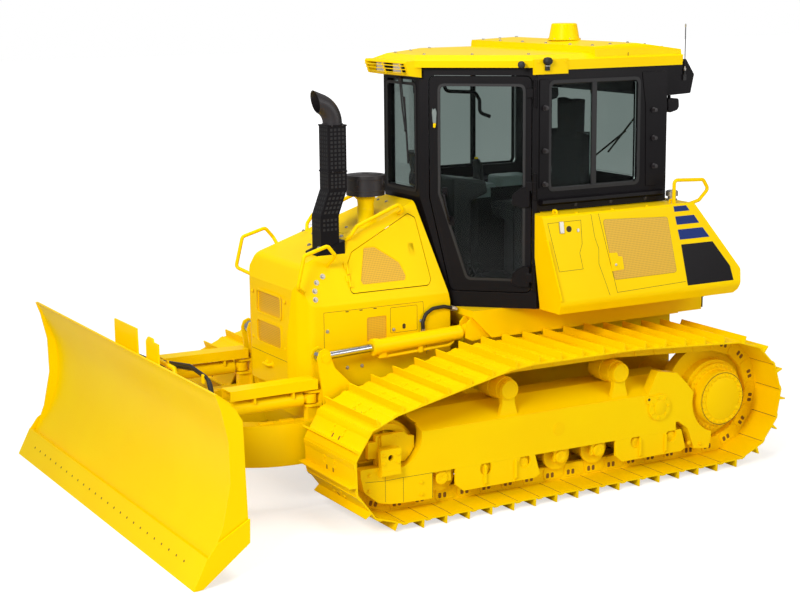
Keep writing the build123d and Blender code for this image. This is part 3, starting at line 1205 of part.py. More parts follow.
def make_tilt_ears():
    """Two ears beside the tilt rod's eye with the heads of its pin, and a web to the mouldboard."""
    y, z = TILT_EYE_Y, TILT_Z
    inner, outer = TILT_X - EYE_HALF - 24, TILT_X + EYE_HALF + 10
    ears = block(inner, 2075, y - 76, y - 52, z - 70, z + 70)
    for x in (inner, outer):
        ears += block(x, x + 14, y - 60, y + 40, z - 52, z + 52)
    for x in (inner - 8, outer + 14):
        ears += rod((x, y, z), (x + 8, y, z), ANGLE_PIN_R + 6)
    return ears


def make_angle_cheeks(side):
    """Pocket of two upright cheeks that takes the ball of an angle rod."""
    cheek = [(ANGLE_EYE_X, ANGLE_Z - 55), (ANGLE_EYE_X, ANGLE_Z + 55), (2052, ANGLE_Z + 120),
             (2045, ANGLE_Z - 140)]
    cheeks = []
    for low, high in ((-CHEEK_IN - 16, -CHEEK_IN), (CHEEK_OUT, CHEEK_OUT + 16)):
        cheeks.append(side_plate(cheek, side * (ANGLE_EYE_Y + low), side * (ANGLE_EYE_Y + high)))
    return cheeks


def make_blade():
    """Mouldboard, end plates, ribs, lower box and the sockets on its back."""
    half = BLADE_TOP_WIDTH / 2
    board = extrude(mouldboard_face().moved(Location((0, -half, 0))), amount=2 * half, dir=(0, 1, 0))
    curve = [(front_edge_x(z), z) for z in (160, 350, 600, 850, 1040, 1134)]
    end = [(2065, 1040), (2022, 965), (2004, 384), (2004, EDGE_HEIGHT + 60)] + curve
    for side in (-1, 1):
        board += side_plate(end, side * (half - 1), side * (half + 14)) + make_angle_cheeks(side)
    low_box = [(2012, 200), (2012, 330), (2110, 360), (BLADE_LOW_X - MOULDBOARD - 8, EDGE_HEIGHT + 30),
               (2200, EDGE_HEIGHT + 5)]
    board += side_plate(low_box, -half, half)
    top_beam = [(BLADE_TOP_X - MOULDBOARD, BLADE_HEIGHT), (TOP_BEAM_X, 1070), (TOP_BEAM_X, 1020),
                (2125, 1000),
                (BLADE_TOP_X - 50, 1040)]
    board += side_plate(top_beam, -half, half)
    behind = behind_board(half)
    tall = [(2085, 1030), (2030, 980), (2016, 900), (2012, 330), (2120, 330), (2060, 600), (2120, 1000)]
    short = [(2016, 780), (2012, 330), (2120, 330), (2060, 600), (2058, 780)]
    for y, rib in ((-1250, tall), (-1000, tall), (-300, short), (300, short), (1000, tall), (1250, tall)):
        board += side_plate(rib, y - 8, y + 8) & behind
    board += rod((TILT_X - EYE_HALF + CLEAR, 0, SWIVEL_Z), (BLADE_DEEP_X - 8, 0, SWIVEL_Z), 98)
    board += block(2000, 2048, -300, 300, 430, 600)
    board -= rod((SWIVEL_X, 0, SWIVEL_Z), (BLADE_DEEP_X - 18 + RUNNING_GAP, 0, SWIVEL_Z),
                 TILT_SHAFT_R + PIN_GAP)
    return board + (make_tilt_ears() & behind)


def make_cutting_edge():
    """Edge strip with its two end bits, bevelled down to the tip."""
    half = BLADE_WIDTH / 2
    strip = [(BLADE_LOW_X + 2, EDGE_HEIGHT + 24), (BLADE_LOW_X + 22, EDGE_HEIGHT + 24),
             (EDGE_TIP_X, EDGE_REST_Z),
             (EDGE_TIP_X - 40, EDGE_REST_Z), (BLADE_LOW_X + 0.3, EDGE_HEIGHT - 2)]
    bit = [(2000, 380), (2004, 235), (2306, EDGE_REST_Z + 3), (EDGE_TIP_X - 20, EDGE_REST_Z),
           (BLADE_LOW_X + 20, EDGE_HEIGHT + 20), (BLADE_LOW_X - 40, 260)]
    edge = side_plate(strip, -half, half)
    for side in (-1, 1):
        edge += side_plate(bit, side * (half - 16), side * half)
    return edge


def make_blade_brackets():
    """Two upright plates bolted behind the top edge; the narrow one is notched."""
    back = TOP_BEAM_X - RUNNING_GAP
    wide = [(-260, 1030), (-260, BLADE_HEIGHT + 105), (150, BLADE_HEIGHT + 108), (160, 1030)]
    narrow = [(310, 1030), (310, BLADE_HEIGHT + 60), (350, BLADE_HEIGHT + 92), (430, BLADE_HEIGHT + 92),
              (440, BLADE_HEIGHT + 70), (520, BLADE_HEIGHT + 70), (520, 1030)]
    return [cross_plate(wide, back - 12, back), cross_plate(narrow, back - 12, back)]


# ---- cylinders ----------------------------------------------------------------------------
def cylinder_pair(mount, eye, pin_axis, sizes, ball=False):
    """Barrel with its rear eye, and rod with its front eye, on the line from mount to eye.

    sizes: barrel radius, rod radius, eye radius, pin radius, gland and rod tail as distances from the mount.
    """
    barrel_r, rod_r, eye_r, pin_r, gland, tail = sizes
    mount, eye = Vector(*mount), Vector(*eye)
    along = (eye - mount).normalized()
    half = Vector(*pin_axis) * EYE_HALF
    barrel = rod(mount + along * (eye_r + 22), mount + along * gland, barrel_r)
    barrel += rod(mount + along * 10, mount + along * (eye_r + 30), barrel_r * 0.6)
    barrel += rod(mount + along * (gland - 50), mount + along * gland, barrel_r + 5)
    barrel += rod(mount - half, mount + half, eye_r)
    barrel -= rod(mount - half * 2, mount + half * 2, pin_r + PIN_GAP)
    barrel -= rod(mount + along * (eye_r + 34), mount + along * (gland + 1), rod_r + PIN_GAP)
    shaft = rod(mount + along * tail, eye, rod_r)
    if ball:
        return barrel, shaft + Pos(eye) * Sphere(eye_r)
    return barrel, shaft + rod(eye - half, eye + half, eye_r)


def make_lift_cylinder():
    sizes = (LIFT_BARREL_R, LIFT_ROD_R, BIG_EYE_R, LIFT_PIN_R, 760, 560)
    return cylinder_pair((LIFT_MOUNT_X, LIFT_Y, LIFT_MOUNT_Z), (LIFT_EYE_X, LIFT_Y, LIFT_EYE_Z),
                         (0, 1, 0), sizes)


def make_angle_cylinder():
    sizes = (ANGLE_BARREL_R, ANGLE_ROD_R, SMALL_EYE_R, ANGLE_PIN_R, 620, 330)
    return cylinder_pair((ANGLE_MOUNT_X, ANGLE_MOUNT_Y, ANGLE_Z), (ANGLE_EYE_X, ANGLE_EYE_Y, ANGLE_Z),
                         (0, 0, 1),
                         sizes, ball=True)


def make_angle_cover():
    """Channel over the angle cylinder, held by two saddles on its barrel."""
    length, half, low, high, wall = 605, 66, 66, 132, 8
    turn = degrees(atan2(ANGLE_EYE_Y - ANGLE_MOUNT_Y, ANGLE_EYE_X - ANGLE_MOUNT_X))
    cover = block(-30, length, -half, half, low, high)
    cover -= block(-31, length + 1, wall - half, half - wall, low - 1, high - wall)
    for x in (140, 420):
        saddle = block(x, x + 14, wall - half - 0.5, half - wall + 0.5, ANGLE_BARREL_R - 22,
                       high - wall + 0.5)
        cover += saddle - rod((x - 1, 0, 0), (x + 15, 0, 0), ANGLE_BARREL_R + RUNNING_GAP)
    return Pos(ANGLE_MOUNT_X, ANGLE_MOUNT_Y, ANGLE_Z) * Rot(0, 0, turn) * cover


def make_tilt_cylinder():
    sizes = (TILT_BARREL_R, TILT_ROD_R, SMALL_EYE_R, ANGLE_PIN_R, 320, 215)
    return cylinder_pair((TILT_X, 0, TILT_Z), (TILT_X, TILT_EYE_Y, TILT_Z), (1, 0, 0), sizes)


def save_undercarriage():
    """Tracks, their wheels and rollers, and the track frames."""
    track = make_track()
    save("track_left", track)
    save("track_right", mirrored(track))
    save("sprockets", both(make_sprocket()))
    save("idlers", both(make_idler()))
    save("carrier_rollers", [r for x in CARRIERS_X for r in both(make_carrier(x))])
    save("track_rollers", [r for x in track_roller_places() for r in both(make_track_roller(x))])
    save("track_frames", both(make_track_frame()))
    yoke = make_idler_mount()
    save("idler_mounts", [piece for part in yoke for piece in both(part)] + both(make_idler_keeper()))
    save("roller_guards", [g for row in GUARD_TABLE for g in both(make_guard(*row))])


def save_front_body():
    """Hull, engine, cover, vents, exhaust and precleaner."""
    save("main_frame", make_main_frame())
    save("drawbar", make_drawbar())
    save("engine_block", make_engine())
    nose, hood, door = make_cover()
    save("nose_mask", nose)
    save("hood", hood)
    save("engine_door_left", door)
    save("engine_door_right", mirrored(door))
    save("vent_screens", make_vent_screens())
    save("exhaust_pipe", make_exhaust())
    save("exhaust_guard", make_exhaust_guard())
    neck, drum = make_precleaner()
    save("intake_neck", neck)
    save("precleaner", drum)


def save_cab():
    """Cab, doors, roof and everything inside."""
    save("cab_frame", make_cab_frame())
    save("cab_windows", make_cab_windows())
    leaf, pane = make_door()
    save("door_left", leaf)
    save("door_right", mirrored(leaf))
    save("door_glass_left", pane)
    save("door_glass_right", mirrored(pane))
    save("cab_roof", add_visor(make_roof()))
    save("front_lamps", make_front_lamps())
    save("cab_rear_box", make_cab_rear_box())
    save("roof_dome", make_dome())
    save("antenna", make_antenna())
    base, cushion, back = make_seat()
    save("seat_base", base)
    save("seat_cushion", cushion)
    save("seat_back", back)
    left, right, dash = make_consoles()
    save("side_consoles", [left, right])
    save("dash_post", dash)


def save_rear_body():
    """Tanks, cowl, fan, grille and handrails."""
    tank = make_tank()
    save("tank_left", tank)
    save("tank_right", mirrored(tank))
    save("rear_cowl", make_cowl())
    save("cooling_fan", make_fan())
    save("rear_grille", make_rear_grille())
    save("handrails", make_handrails())


def save_blade():
    """Push frame, swivel and blade."""
    save("c_frame", make_c_frame())
    save("blade_swivel", make_swivel())
    save("blade", make_blade())
    save("cutting_edge", make_cutting_edge())
    save("blade_brackets", make_blade_brackets())


def save_cylinders():
    """Lift, angle and tilt cylinders."""
    barrel, shaft = make_lift_cylinder()
    save("lift_barrel_left", barrel)
    save("lift_barrel_right", mirrored(barrel))
    save("lift_rod_left", shaft)
    save("lift_rod_right", mirrored(shaft))
    barrel, shaft = make_angle_cylinder()
    cover = make_angle_cover()
    save("angle_barrel_left", barrel)
    save("angle_barrel_right", mirrored(barrel))
    save("angle_rod_left", shaft)
    save("angle_rod_right", mirrored(shaft))
    save("angle_cover_left", cover)
    save("angle_cover_right", mirrored(cover))
    barrel, shaft = make_tilt_cylinder()
    save("tilt_barrel", barrel)
    save("tilt_rod", shaft)


def main():
    """Writes every node under parts."""
    os.makedirs("parts", exist_ok=True)
    save_undercarriage()
    save_front_body()
    save_cab()
    save_rear_body()
    save_blade()
    save_cylinders()


main()
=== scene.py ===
from math import cos, pi, radians, sin, sqrt, tan

import bmesh
import bpy
from mathutils import Matrix, Vector


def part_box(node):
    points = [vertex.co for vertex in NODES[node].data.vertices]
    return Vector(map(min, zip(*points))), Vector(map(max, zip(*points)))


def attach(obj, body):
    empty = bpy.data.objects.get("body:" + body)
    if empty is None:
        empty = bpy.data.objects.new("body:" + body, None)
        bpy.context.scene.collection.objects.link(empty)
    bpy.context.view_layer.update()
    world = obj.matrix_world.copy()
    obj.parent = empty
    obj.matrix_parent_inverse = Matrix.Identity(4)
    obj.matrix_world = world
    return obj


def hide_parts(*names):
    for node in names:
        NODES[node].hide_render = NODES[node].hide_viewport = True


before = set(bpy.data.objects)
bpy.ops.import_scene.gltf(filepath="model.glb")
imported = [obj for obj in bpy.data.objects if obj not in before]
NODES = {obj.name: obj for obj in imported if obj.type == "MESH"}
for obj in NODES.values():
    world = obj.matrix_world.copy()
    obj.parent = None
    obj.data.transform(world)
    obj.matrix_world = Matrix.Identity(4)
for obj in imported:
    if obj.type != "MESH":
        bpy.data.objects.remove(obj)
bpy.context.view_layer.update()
UP = Vector((0, 0, 1))
FORWARD = Vector((1, 0, 0))
LEFT = Vector((0, 1, 0))


# ---- camera, light and floor ---------------------------------------------
def make_camera():
    data = bpy.data.cameras.new("camera")
    data.lens = 75.93
    data.sensor_width = 36.0
    camera = bpy.data.objects.new("camera", data)
    bpy.context.scene.collection.objects.link(camera)
    yaw, pitch, roll = radians(-119.4527), radians(-11.0567), radians(-0.5336)
    ahead = Vector((cos(yaw) * cos(pitch), sin(yaw) * cos(pitch), sin(pitch)))
    turn = ahead.to_track_quat("-Z", "Y").to_matrix().to_4x4()
    camera.matrix_world = Matrix.Translation((5.8392, 10.2618, 3.4712)) @ turn @ Matrix.Rotation(roll, 4,
                                                                                                 "Z")
    data.clip_end = 200.0
    bpy.context.scene.camera = camera


def make_lamp(name, place, aim, size, power):
    data = bpy.data.lights.new(name, "AREA")
    data.shape = "DISK"
    data.size = size
    data.energy = power
    lamp = bpy.data.objects.new(name, data)
    bpy.context.scene.collection.objects.link(lamp)
    lamp.location = place
    lamp.rotation_euler = (Vector(aim) - Vector(place)).to_track_quat("-Z", "Y").to_euler()


def make_studio():
    """White background for every ray that shows, a softer light from all round, and three soft lamps."""
    world = bpy.data.worlds.new("studio")
    bpy.context.scene.world = world
    world.use_nodes = True
    tree = world.node_tree
    tree.nodes.clear()
    out = tree.nodes.new("ShaderNodeOutputWorld")
    seen = tree.nodes.new("ShaderNodeBackground")
    seen.inputs["Color"].default_value = (1, 1, 1, 1)
    light = tree.nodes.new("ShaderNodeBackground")
    light.inputs["Color"].default_value = (1.0, 1.0, 1.0, 1)
    light.inputs["Strength"].default_value = 0.40
    path = tree.nodes.new("ShaderNodeLightPath")
    shown = tree.nodes.new("ShaderNodeMath")
    shown.operation = "MAXIMUM"
    mix = tree.nodes.new("ShaderNodeMixShader")
    link = tree.links.new
    link(path.outputs["Is Camera Ray"], shown.inputs[0])
    link(path.outputs["Is Transmission Ray"], shown.inputs[1])
    link(shown.outputs[0], mix.inputs["Fac"])
    link(light.outputs[0], mix.inputs[1])
    link(seen.outputs[0], mix.inputs[2])
    link(mix.outputs[0], out.inputs["Surface"])
    make_lamp("key", (8.2, 6.2, 6.2), (0, 0, 1.2), 3.6, 780)
    make_lamp("side", (-5.5, 8.0, 4.5), (-0.4, 0, 1.0), 5.0, 210)
    make_lamp("top", (0, 0, 9.0), (0, 0, 0), 5.0, 300)


def make_floor():
    mesh = bpy.data.meshes.new("floor")
    side = 60.0
    mesh.from_pydata([(-side, -side, 0), (side, -side, 0), (side, side, 0), (-side, side, 0)], [],
                     [(0, 1, 2, 3)])
    floor = bpy.data.objects.new("floor", mesh)
    floor.location.z = -0.001
    bpy.context.scene.collection.objects.link(floor)
    material = bpy.data.materials.new("floor")
    material.use_nodes = True
    tree = material.node_tree
    shader = tree.nodes["Principled BSDF"]
    shader.inputs["Base Color"].default_value = (0.62, 0.62, 0.62, 1)
    shader.inputs["Roughness"].default_value = 0.9
    shader.inputs["Specular IOR Level"].default_value = 0.1
    glow = tree.nodes.new("ShaderNodeEmission")
    glow.inputs["Color"].default_value = (1, 1, 1, 1)
    path = tree.nodes.new("ShaderNodeLightPath")
    share = tree.nodes.new("ShaderNodeMath")
    share.operation = "MULTIPLY"
    place = tree.nodes.new("ShaderNodeTexCoord")
    away = tree.nodes.new("ShaderNodeVectorMath")
    away.operation = "LENGTH"
    fade = tree.nodes.new("ShaderNodeMapRange")
    fade.inputs["From Min"].default_value = 4.0
    fade.inputs["From Max"].default_value = 14.0
    fade.inputs["To Min"].default_value = 0.62
    fade.inputs["To Max"].default_value = 1.0
    tree.links.new(place.outputs["Object"], away.inputs[0])
    tree.links.new(away.outputs["Value"], fade.inputs["Value"])
    tree.links.new(fade.outputs["Result"], share.inputs[1])
    both = tree.nodes.new("ShaderNodeAddShader")
    tree.links.new(path.outputs["Is Camera Ray"], share.inputs[0])
    tree.links.new(share.outputs[0], glow.inputs["Strength"])
    tree.links.new(shader.outputs[0], both.inputs[0])
    tree.links.new(glow.outputs[0], both.inputs[1])
    tree.links.new(both.outputs[0], tree.nodes["Material Output"].inputs["Surface"])
    mesh.materials.append(material)


# ---- materials ---------------------------------------------------------------
def srgb(red, green, blue):
    """Linear colour of a 0-255 display colour."""
    shares = [c / 255 for c in (red, green, blue)]
    return tuple(c / 12.92 if c <= 0.04 else ((c + 0.055) / 1.055) ** 2.4 for c in shares) + (1,)


def surface(name, colour, other, rough, grain=60.0, bump=0.1, depth=0.0004, metal=0.0, coat=0.0,
            blotch=1.6, spread=0.12, low=0.35, high=0.65, sheen=0.5):
    """Procedural finish: blotches between two colours, mottled gloss and a fine bump.

    grain is the bump's noise scale, blotch the scale of the colour change.
    """
    material = bpy.data.materials.new(name)
    material.use_nodes = True
    tree = material.node_tree
    shader = tree.nodes["Principled BSDF"]
    place = tree.nodes.new("ShaderNodeTexCoord")
    link = tree.links.new
    broad = tree.nodes.new("ShaderNodeTexNoise")
    broad.inputs["Scale"].default_value = blotch
    broad.inputs["Detail"].default_value = 6.0
    link(place.outputs["Object"], broad.inputs["Vector"])
    steps = tree.nodes.new("ShaderNodeMapRange")
    steps.inputs["From Min"].default_value = low
    steps.inputs["From Max"].default_value = high
    link(broad.outputs["Fac"], steps.inputs["Value"])
    blend = tree.nodes.new("ShaderNodeMix")
    blend.data_type = "RGBA"
    blend.inputs["A"].default_value = colour
    blend.inputs["B"].default_value = other
    link(steps.outputs["Result"], blend.inputs["Factor"])
    link(blend.outputs["Result"], shader.inputs["Base Color"])
    gloss = tree.nodes.new("ShaderNodeMapRange")
    gloss.inputs["To Min"].default_value = max(0.02, rough - spread / 2)
    gloss.inputs["To Max"].default_value = rough + spread / 2
    fine = tree.nodes.new("ShaderNodeTexNoise")
    fine.inputs["Scale"].default_value = grain
    fine.inputs["Detail"].default_value = 3.0
    link(place.outputs["Object"], fine.inputs["Vector"])
    link(fine.outputs["Fac"], gloss.inputs["Value"])
    link(gloss.outputs["Result"], shader.inputs["Roughness"])
    relief = tree.nodes.new("ShaderNodeBump")
    relief.inputs["Strength"].default_value = bump
    relief.inputs["Distance"].default_value = depth
    link(fine.outputs["Fac"], relief.inputs["Height"])
    link(relief.outputs["Normal"], shader.inputs["Normal"])
    shader.inputs["Metallic"].default_value = metal
    shader.inputs["Specular IOR Level"].default_value = sheen
    shader.inputs["Coat Weight"].default_value = coat
    shader.inputs["Coat Roughness"].default_value = 0.08
    return material


YELLOW = surface("yellow_paint", srgb(255, 216, 0), srgb(254, 211, 0), 0.32, grain=220, bump=0.05,
                 sheen=0.05)
CAST = surface("yellow_cast", srgb(255, 214, 0), srgb(252, 206, 0), 0.42, grain=150, bump=0.25,
               depth=0.0008, sheen=0.05)
BLACK = surface("black_paint", srgb(20, 17, 20), srgb(15, 13, 15), 0.34, grain=260, bump=0.10, sheen=0.14)
DARK = surface("dark_metal", srgb(42, 37, 39), srgb(32, 28, 30), 0.44, grain=200, bump=0.2)
GAP = surface("shadow_gap", srgb(70, 50, 8), srgb(52, 38, 8), 0.8, grain=300, bump=0.2)
# Painted shade: a dark amber laid on openings, grooves and bolt recesses, where shade falls.
SHADE = surface("amber_painted_shade", srgb(140, 98, 6), srgb(112, 78, 6), 0.8, grain=300, bump=0.2)
CHROME = surface("chrome_rod", (0.62, 0.63, 0.66, 1), (0.50, 0.51, 0.54, 1), 0.16, grain=400, bump=0.03,
                 metal=1.0)
STEEL = surface("zinc_steel", (0.52, 0.50, 0.44, 1), (0.40, 0.38, 0.34, 1), 0.34, grain=300, bump=0.1,
                metal=0.8)
RUBBER = surface("rubber", srgb(21, 20, 22), srgb(15, 14, 16), 0.55, grain=500, bump=0.25)
FABRIC = surface("seat_fabric", srgb(29, 30, 32), srgb(20, 21, 23), 0.85, grain=900, bump=0.7, depth=0.0008)
PLASTIC = surface("grey_plastic", srgb(128, 140, 138), srgb(112, 123, 122), 0.5, grain=420, bump=0.25)
ENGINE = surface("engine_grey", srgb(86, 84, 80), srgb(66, 64, 62), 0.55, grain=120, bump=0.4, depth=0.002)
NAVY = surface("navy_stripe", srgb(30, 54, 122), srgb(27, 48, 112), 0.35, grain=220, bump=0.05, sheen=0.1)
LENS = surface("lamp_lens", (0.9, 0.92, 0.93, 1), (0.72, 0.75, 0.78, 1), 0.12, grain=90, bump=0.5,
               depth=0.002, metal=0.5)
RED = surface("red_plastic", srgb(150, 28, 20), srgb(125, 22, 16), 0.3, grain=300, bump=0.05)
SCREEN = surface("monitor_glass", srgb(24, 40, 44), srgb(16, 28, 32), 0.1, grain=100, bump=0.0)


def make_glass():
    """Pale green safety glass."""
    colour = (0.78, 0.87, 0.84, 1)
    material = surface("cab_glass", colour, (0.75, 0.85, 0.82, 1), 0.02, grain=3, bump=0.0, spread=0.01)
    shader = material.node_tree.nodes["Principled BSDF"]
    shader.inputs["Transmission Weight"].default_value = 1.0
    shader.inputs["IOR"].default_value = 1.2
    return material


GLASS = make_glass()


def make_perforated(name, paint, hole_shade, pitch, share, leaning=False):
    """Paint with a close grid of round holes, their insides painted darker as painted shade; on a leaning
    side the grid is laid out in XZ.
    """
    material = surface(name, paint, paint, 0.45, grain=200)
    tree = material.node_tree
    shader = tree.nodes["Principled BSDF"]
    place = tree.nodes["Texture Coordinate"]
    cells = tree.nodes.new("ShaderNodeTexVoronoi")
    cells.inputs["Scale"].default_value = 1.0 / pitch
    cells.inputs["Randomness"].default_value = 0.0
    edge = tree.nodes.new("ShaderNodeMapRange")
    edge.inputs["From Min"].default_value = share - 0.04
    edge.inputs["From Max"].default_value = share + 0.04
    dots = tree.nodes.new("ShaderNodeMix")
    dots.data_type = "RGBA"
    dots.inputs["A"].default_value = hole_shade
    grid = place.outputs["Object"]
    if leaning:
        parts = tree.nodes.new("ShaderNodeSeparateXYZ")
        pair = tree.nodes.new("ShaderNodeCombineXYZ")
        cells.voronoi_dimensions = "2D"
        tree.links.new(grid, parts.inputs[0])
        tree.links.new(parts.outputs["X"], pair.inputs["X"])
        tree.links.new(parts.outputs["Z"], pair.inputs["Y"])
        grid = pair.outputs[0]
    tree.links.new(grid, cells.inputs["Vector"])
    tree.links.new(cells.outputs["Distance"], edge.inputs["Value"])
    tree.links.new(edge.outputs["Result"], dots.inputs["Factor"])
    blend = next(n for n in tree.nodes if n.bl_idname == "ShaderNodeMix" and n != dots)
    tree.links.new(blend.outputs["Result"], dots.inputs["B"])
    tree.links.new(dots.outputs["Result"], shader.inputs["Base Color"])
    return material


# The second colour of each screen is painted shade in its holes.
MESH = make_perforated("yellow_mesh", srgb(230, 182, 30), srgb(196, 148, 24), 0.012, 0.34)
SIDE_MESH = make_perforated("leaning_mesh", srgb(230, 182, 30), srgb(196, 148, 24), 0.012, 0.34,
                            leaning=True)
GRILLE = make_perforated("black_mesh", srgb(52, 46, 50), srgb(10, 9, 10), 0.012, 0.42)

# The slot that each material stands for.
SLOTS = {
    "yellow_paint": (YELLOW, CAST), "black_paint": (BLACK, GRILLE), "exhaust_steel": (DARK,),
    "black_plastic": (RUBBER,),
    "grey_plastic": (PLASTIC,), "perforated_screen": (MESH, SIDE_MESH), "rod_chrome": (CHROME, STEEL),
    "seat_fabric": (FABRIC,),
    "cab_glass": (GLASS,), "cast_steel": (ENGINE,),
}
# Finish of each CAD node; every node not named here is in yellow paint.
FINISH = {
    "cab_frame": BLACK, "door_left": BLACK, "door_right": BLACK, "exhaust_pipe": DARK,
    "exhaust_guard": BLACK,
    "precleaner": DARK, "cab_rear_box": BLACK, "engine_block": ENGINE, "vent_screens": MESH,
    "antenna": RUBBER,
    "cab_windows": GLASS, "seat_base": DARK, "seat_cushion": FABRIC, "seat_back": FABRIC,
    "front_lamps": RUBBER,
    "door_glass_left": GLASS, "door_glass_right": GLASS, "side_consoles": RUBBER, "dash_post": RUBBER,
    "cooling_fan": RUBBER, "rear_grille": BLACK, "lift_rod_left": CHROME, "lift_rod_right": CHROME,
    "angle_rod_left": CHROME, "angle_rod_right": CHROME, "tilt_rod": CHROME, "sprockets": CAST,
    "idlers": CAST,
    "carrier_rollers": CAST, "track_rollers": CAST, "track_left": CAST, "track_right": CAST,
    "idler_mounts": CAST,
}
BEVELLED = {
    "cutting_edge": 0.003, "track_frames": 0.006,
    "idler_mounts": 0.004, "roller_guards": 0.003, "sprockets": 0.005, "carrier_rollers": 0.006,
    "cab_roof": 0.006,
    "cab_frame": 0.004, "exhaust_guard": 0.003, "precleaner": 0.006, "cab_rear_box": 0.005,
    "drawbar": 0.004,
    "rear_cowl": 0.006, "side_consoles": 0.02, "dash_post": 0.02, "seat_base": 0.01, "blade_swivel": 0.004,
    "nose_mask": 0.0025, "hood": 0.0025, "engine_door_left": 0.0025, "engine_door_right": 0.0025,
    "angle_cover_left": 0.004, "angle_cover_right": 0.004, "door_left": 0.003, "door_right": 0.003,
    "track_left": 0.0015, "track_right": 0.0015, "blade_brackets": 0.002, "rear_grille": 0.002,
}


def finish_node(node, material):
    data = node.data
    data.materials.clear()
    data.materials.append(material)
    for polygon in data.polygons:
        polygon.material_index = 0


def soften(node, width, angle=30.0):
    """Rounded edges on a CAD node: its flat faces are joined first, so that only real edges round."""
    weld = node.modifiers.new("weld", "WELD")
    weld.merge_threshold = 0.00005
    flat = node.modifiers.new("flat", "DECIMATE")
    flat.decimate_type = "DISSOLVE"
    flat.angle_limit = radians(0.6)
    bevel = node.modifiers.new("edges", "BEVEL")
    bevel.width = width
    bevel.segments = 2
    bevel.limit_method = "ANGLE"
    bevel.angle_limit = radians(angle)
    bevel.use_clamp_overlap = True
    node.modifiers.new("normals", "WEIGHTED_NORMAL").keep_sharp = True


# ---- building pieces -----------------------------------------------------------
def piece(name, bm, material, body, mirror=False, angle=32.0):
    """Turns a bmesh into an object that rides on a body; mirror adds its twin on the right."""
    if mirror:
        twin = bmesh.ops.duplicate(bm, geom=bm.verts[:] + bm.edges[:] + bm.faces[:])["geom"]
        for vert in (g for g in twin if isinstance(g, bmesh.types.BMVert)):
            vert.co.y = -vert.co.y
        bmesh.ops.reverse_faces(bm, faces=[g for g in twin if isinstance(g, bmesh.types.BMFace)])
    bmesh.ops.recalc_face_normals(bm, faces=bm.faces[:])
    mesh = bpy.data.meshes.new(name)
    bm.to_mesh(mesh)
    bm.free()
    mesh.materials.append(material)
    mesh.shade_smooth()
    mesh.set_sharp_from_angle(angle=radians(angle))
    obj = bpy.data.objects.new(name, mesh)
    bpy.context.scene.collection.objects.link(obj)
    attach(obj, body)
    for slot, finishes in SLOTS.items():
        material in finishes
    return obj


def plane(origin, across, up):
    """Maps (a, b, c) to origin + a across + b up + c outward; across and up are unit vectors."""
    across, up = Vector(across).normalized(), Vector(up).normalized()
    out = across.cross(up)
    return lambda a, b, c=0.0: Vector(origin) + across * a + up * b + out * c


def rounded(points, radius, steps=4):
    """A 2D outline with its corners rounded; radius is one value or one for each corner."""
    count = len(points)
    radii = radius if isinstance(radius, (list, tuple)) else [radius] * count
    result = []
    for i, corner in enumerate(points):
        here = Vector(corner).to_2d()
        before = Vector(points[i - 1]).to_2d() - here
        after = Vector(points[(i + 1) % count]).to_2d() - here
        if radii[i] <= 0:
            result += [tuple(here)] * (steps + 1)
            continue
        half = before.angle(after) / 2
        reach = min(radii[i] / tan(half), before.length * 0.49, after.length * 0.49)
        start, end = here + before.normalized() * reach, here + after.normalized() * reach
        for k in range(steps + 1):
            t = k / steps
            result.append(tuple(start * (1 - t) ** 2 + here * 2 * t * (1 - t) + end * t ** 2))
    return result


def rectangle(a0, a1, b0, b1):
    return [(a0, b0), (a1, b0), (a1, b1), (a0, b1)]


def card(a0, a1, b0, b1, radius, steps=2):
    """A rectangle with rounded corners."""
    return rounded(rectangle(a0, a1, b0, b1), radius, steps)


def prism(bm, low, high):
    """Solid between two matching outlines of 3D points."""
    bottom = [bm.verts.new(p) for p in low]
    top = [bm.verts.new(p) for p in high]
    bm.faces.new(bottom[::-1])
    bm.faces.new(top)
    for i in range(len(bottom)):
        j = (i + 1) % len(bottom)
        bm.faces.new((bottom[i], bottom[j], top[j], top[i]))


def slab(bm, at, outline, low, high, edge=0.0):
    """Plate on a plane from height low to high, with a small chamfer round its outer face."""
    if edge:
        middle = [sum(p[0] for p in outline) / len(outline), sum(p[1] for p in outline) / len(outline)]
        size = max(abs(p[0] - middle[0]) + abs(p[1] - middle[1]) for p in outline)
        inner = [[m + (v - m) * (1 - edge / size) for v, m in zip(p, middle)] for p in outline]
        prism(bm, [at(a, b, low) for a, b in outline], [at(a, b, high - edge) for a, b in outline])
        prism(bm, [at(a, b, high - edge) for a, b in outline], [at(a, b, high) for a, b in inner])
    else:
        prism(bm, [at(a, b, low) for a, b in outline], [at(a, b, high) for a, b in outline])


def band(bm, at, outer, inner, low, high):
    """Flat ring between two outlines with as many points each."""
    loops = [[bm.verts.new(at(a, b, c)) for a, b in outline] for outline, c in ((outer, low), (outer, high),
                                                                                (inner, high), (inner, low))]
    for k in range(4):
        one, two = loops[k], loops[(k + 1) % 4]
        for i in range(len(one)):
            j = (i + 1) % len(one)
            bm.faces.new((one[i], one[j], two[j], two[i]))


def turned(bm, origin, axis, profile, steps=24):
    """Solid of revolution: profile is (radius, height along axis) from one end to the other."""
    axis = Vector(axis).normalized()
    side = axis.orthogonal().normalized()
    other = axis.cross(side)
    rings = []
    for radius, height in profile:
        centre = Vector(origin) + axis * height
        if radius <= 0:
            rings.append([bm.verts.new(centre)])
        else:
            turns = (2 * pi * k / steps for k in range(steps))
            rings.append([bm.verts.new(centre + (side * cos(t) + other * sin(t)) * radius) for t in turns])
    for low, high in zip(rings, rings[1:]):
        for i in range(steps):
            j = (i + 1) % steps
            corners = [low[i % len(low)], low[j % len(low)], high[j % len(high)], high[i % len(high)]]
            unique = list(dict.fromkeys(corners))
            if len(unique) > 2:
                bm.faces.new(unique)
    for ring, turn in ((rings[0], -1), (rings[-1], 1)):
        if len(ring) > 2:
            bm.faces.new(ring[::turn])


